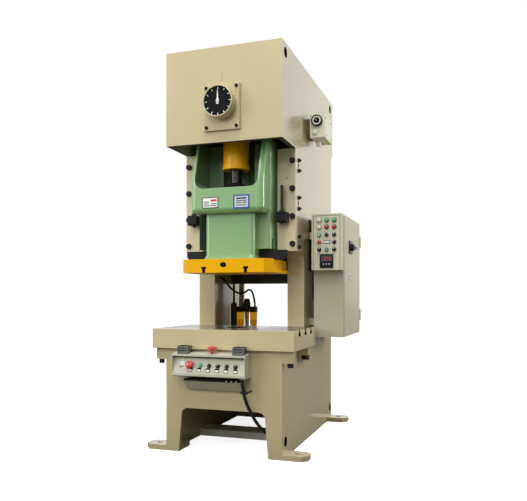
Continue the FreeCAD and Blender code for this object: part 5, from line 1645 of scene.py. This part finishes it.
# ---------------------------------------------------------------- conduit and hose
@dataclass
class Lines:
    """Corrugated conduit of the console and the hose of the air unit.

    Attributes:
        conduit_route: corners of the conduit's line, in metres.
        hose_route: corners of the hose's line, in metres.
        conduit_radius: radius over the ribs, in metres.
        hose_radius: radius of the hose, in metres.
        pitch: from one rib to the next, in metres.
        groove: depth between the ribs, in metres.
    """

    NUT = ((11.4, 0), (20, 0), (20, 4.5), (19, 5.8), (11.4, 5.8))
    FITTING = ((11, 0), (17.2, 0), (17.2, 6), (16, 9.5), (15, 12), (11, 12))
    CLIP = ((11.2, 0), (14.5, 0), (14.5, 14), (11.2, 14), (11.2, 0))

    conduit_route: tuple[Point, ...] = (
        (0.172, -0.801, 0.524), (0.172, -0.801, 0.452), (0.194, -0.743, 0.318), (0.252, -0.667, 0.176),
        (0.322, -0.583, 0.110), (0.378, -0.583, 0.110))
    hose_route: tuple[Point, ...] = (
        (-0.378, 0.168, 1.197), (-0.352, 0.168, 1.197), (-0.350, 0.317, 1.110), (-0.262, 0.351, 1.056),
        (-0.186, 0.368, 1.122), (-0.154, 0.377, 1.010), (-0.154, 0.377, 0.962))
    conduit_radius: float = 0.011
    hose_radius: float = 0.008
    pitch: float = 0.0055
    groove: float = 0.0016

    def _line(self, route: Sequence[Point]) -> list[Vector]:
        """Points along the smooth curve of a route's corners.

        Args:
            route: the corners, in metres.

        Returns:
            The points, in metres.
        """
        data = bpy.data.curves.new("line", "CURVE")
        data.dimensions = "3D"
        data.resolution_u = 24
        spline = data.splines.new("NURBS")
        spline.points.add(len(route) - 1)
        for point, corner in zip(spline.points, route):
            point.co = (*corner, 1.0)
        spline.order_u = 3
        spline.use_endpoint_u = True
        mesh = baked(linked("line", data))
        points = [vert.co.copy() for vert in mesh.vertices]
        bpy.data.meshes.remove(mesh)
        return points

    def _tube(self, name: str, line: list[Vector], radius: Callable[[float], float], step: float,
              segments: int) -> tuple[Piece, float]:
        """Rubber tube along a line whose radius may change along it.

        Args:
            name: name of the piece.
            line: points of the centre line.
            radius: radius at a distance from the start.
            step: distance between rings.
            segments: faces round the tube.

        Returns:
            The piece and its length.
        """
        lengths = [0.0]
        for first, second in zip(line, line[1:]):
            lengths.append(lengths[-1] + (second - first).length)
        count = max(8, round(lengths[-1] / step))
        side = Vector(RIGHT)
        rings = []
        for number in range(count + 1):
            reach = lengths[-1] * number / count
            slot = next((i for i in range(1, len(lengths)) if lengths[i] >= reach - 1e-9), len(lengths) - 1)
            share = (reach - lengths[slot - 1]) / max(1e-9, lengths[slot] - lengths[slot - 1])
            spot = line[slot - 1].lerp(line[slot], share)
            ahead = (line[min(slot + 1, len(line) - 1)] - line[max(slot - 2, 0)]).normalized()
            side = (side - ahead * side.dot(ahead)).normalized()
            other = ahead.cross(side)
            angles = (2 * math.pi * turn / segments for turn in range(segments))
            rings.append([spot + (side * math.cos(angle) + other * math.sin(angle)) * radius(reach)
                          for angle in angles])
        piece = Piece(name)
        piece.skin(rings, "rubber", caps=True)
        return piece, lengths[-1]

    def _ribbed(self, reach: float) -> float:
        """Radius over the ribs at a distance along the conduit."""
        wave = 0.5 + 0.5 * math.cos(2 * math.pi * reach / self.pitch)
        return self.conduit_radius - self.groove * (1.0 - wave) ** 1.5

    def conduit(self) -> None:
        """Ribbed conduit with its two hexagon end fittings."""
        line = self._line(self.conduit_route)
        piece, length = self._tube("conduit_ribbed", line, self._ribbed, self.pitch / 6, 28)
        tube = piece.done("frame", "black_plastic", "conduit", smooth=50)
        fittings = Piece("conduit_fittings")
        for centre, axis in ((self.conduit_route[0], (0, 0, -1)), (self.conduit_route[-1], (-1, 0, 0))):
            fittings.turn(self.FITTING, Vector(centre), "black", 6, axis)
        ends = fittings.done("frame", "black_plastic", bevel=0.6)
        self.conduit_route[0]

    def hose(self) -> None:
        """Short air hose from the side plate to the outlet pipe."""
        line = self._line(self.hose_route)
        piece, length = self._tube("air_hose_smooth", line, lambda reach: self.hose_radius, 0.004, 24)
        tube = piece.done("frame", "belt_rubber", "air_hose", smooth=50)
        self.hose_route[0]

    def clip(self) -> None:
        """Black P-clip on a stay that holds the conduit off the apron, and the nut at its top."""
        clip = Piece("conduit_clip").turn(self.CLIP, at(173, -83, 428), "black", 28, UP)
        clip.block((185, -92, 426), (208, -76, 444), "black").block((198, -80, 431), (208, 0, 439), "black")
        clip.done("frame", "black_plastic", bevel=0.8)
        Piece("conduit_nut").turn(self.NUT, at(172, -84, 524), "zinc", 6, (0, 0, -1)).done(
            "frame", "galvanised", bevel=0.5)

    def build(self) -> None:
        """Makes the conduit and the hose."""
        self.conduit()
        self.hose()
        self.clip()


# ---------------------------------------------------------------- studio
@dataclass
class Studio:
    """Floor, lamps, world and camera, in metres.

    Attributes:
        eye: camera position.
        heading: turn of the camera about the vertical, in degrees.
        focal_px: focal length in pixels of the photograph.
        centre_px: principal point in the photograph.
        sensor_mm: width of the camera's sensor.
        floor_half: half of the floor's width.
        floor_bounce: the floor's colour for the light that it throws back up.
        floor_shade: the floor's colour in the picture.
        floor_glow: its own light in the picture, which leaves the shadow visible.
        world_light: strength of the surroundings' light.
    """

    # Name, place, aim, width and power of the square soft boxes.
    LAMPS = (
        ("key", (-5.5, -6.0, 3.4), (0.0, -0.4, 1.4), 4.0, 215.0),
        ("front", (0.4, -7.6, 5.4), (0.2, -0.4, 1.3), 3.4, 150.0),
        ("side", (4.6, 2.2, 2.2), (0.4, 0.0, 1.2), 2.2, 125.0),
        ("top", (0.2, -2.6, 5.6), (0.0, -0.5, 1.0), 2.4, 105.0),
    )

    eye: Point = (1.5616, -4.5322, 1.0664)
    heading: float = 18.98
    focal_px: float = 622.7
    centre_px: tuple[float, float] = (258.0, 294.0)
    sensor_mm: float = 36.0
    floor_half: float = 60.0
    floor_bounce: Colour = (0.16, 0.155, 0.14)
    floor_shade: Colour = (0.8, 0.8, 0.8)
    floor_glow: float = 0.84
    world_light: float = 0.32

    def camera(self) -> None:
        """Sets the photograph's camera."""
        data = bpy.data.cameras.new("camera")
        data.sensor_width = self.sensor_mm
        data.lens = self.focal_px / IMAGE_WIDTH * self.sensor_mm
        data.shift_x = (IMAGE_WIDTH / 2 - self.centre_px[0]) / IMAGE_WIDTH
        data.shift_y = (self.centre_px[1] - IMAGE_HEIGHT / 2) / IMAGE_WIDTH
        made = linked("camera", data)
        made.location = self.eye
        made.rotation_euler = (math.pi / 2, 0.0, math.radians(self.heading))
        bpy.context.scene.camera = made

    def floor(self) -> None:
        """Lays a pale floor that keeps the press's shadow and throws little light back up."""
        half = self.floor_half
        data = bpy.data.meshes.new("studio_floor")
        corners = [(-half, -half, 0), (half, -half, 0), (half, half, 0), (-half, half, 0)]
        data.from_pydata(corners, [], [(0, 1, 2, 3)])
        shader = Shader("studio_floor")
        data.materials.append(shader.set(Base_Color=self.floor_bounce, Roughness=0.9))
        pale = shader.node("ShaderNodeBsdfPrincipled", {
            "Base Color": self.floor_shade, "Roughness": 1.0, "Specular IOR Level": 0.0,
            "Emission Color": WHITE, "Emission Strength": self.floor_glow})
        dull = Sock(shader.tree, shader.tree.nodes["Principled BSDF"].outputs[0])
        both = shader.node("ShaderNodeMixShader", {0: shader.seen("Is Transmission Ray"), 1: dull, 2: pale})
        shader.fill(shader.tree.nodes["Material Output"], {0: both})
        linked("studio_floor", data)

    def world(self) -> None:
        """Even white surroundings."""
        world = bpy.data.worlds.new("studio")
        world.use_nodes = True
        graph = Graph(world.node_tree)
        plain, seen = (graph.node("ShaderNodeBackground", {"Color": WHITE, "Strength": strength})
                       for strength in (self.world_light, 1.0))
        rays = graph.seen("Is Glossy Ray", "Is Transmission Ray")
        both = graph.node("ShaderNodeMixShader", {0: rays, 1: plain, 2: seen})
        graph.fill(graph.tree.nodes["World Output"], {0: both})
        bpy.context.scene.world = world

    def lamps(self) -> None:
        """Sets up the soft boxes."""
        for name, place, aim, size, power in self.LAMPS:
            data = bpy.data.lights.new(name, "AREA")
            data.shape = "SQUARE"
            data.size = size
            data.energy = power
            made = linked(name, data)
            made.location = place
            made.rotation_euler = (Vector(aim) - Vector(place)).to_track_quat("-Z", "Y").to_euler()

    def build(self) -> None:
        """Sets up the studio."""
        bpy.context.scene.view_settings.view_transform = "Standard"
        self.camera()
        self.floor()
        self.world()
        self.lamps()


def main() -> None:
    """Builds the scene in order."""
    logging.basicConfig(level=logging.INFO, format="%(name)s: %(message)s")
    Studio().build()
    castings = Castings()
    castings.build()
    Lines().build()
    CrankDial().build()
    SlideDressing().build(castings)
    AdjustingScrew().build()
    Guides().build()
    Console().build()
    Cabinet().build()
    AirBox().build()


if __name__ == "__main__":
    main()
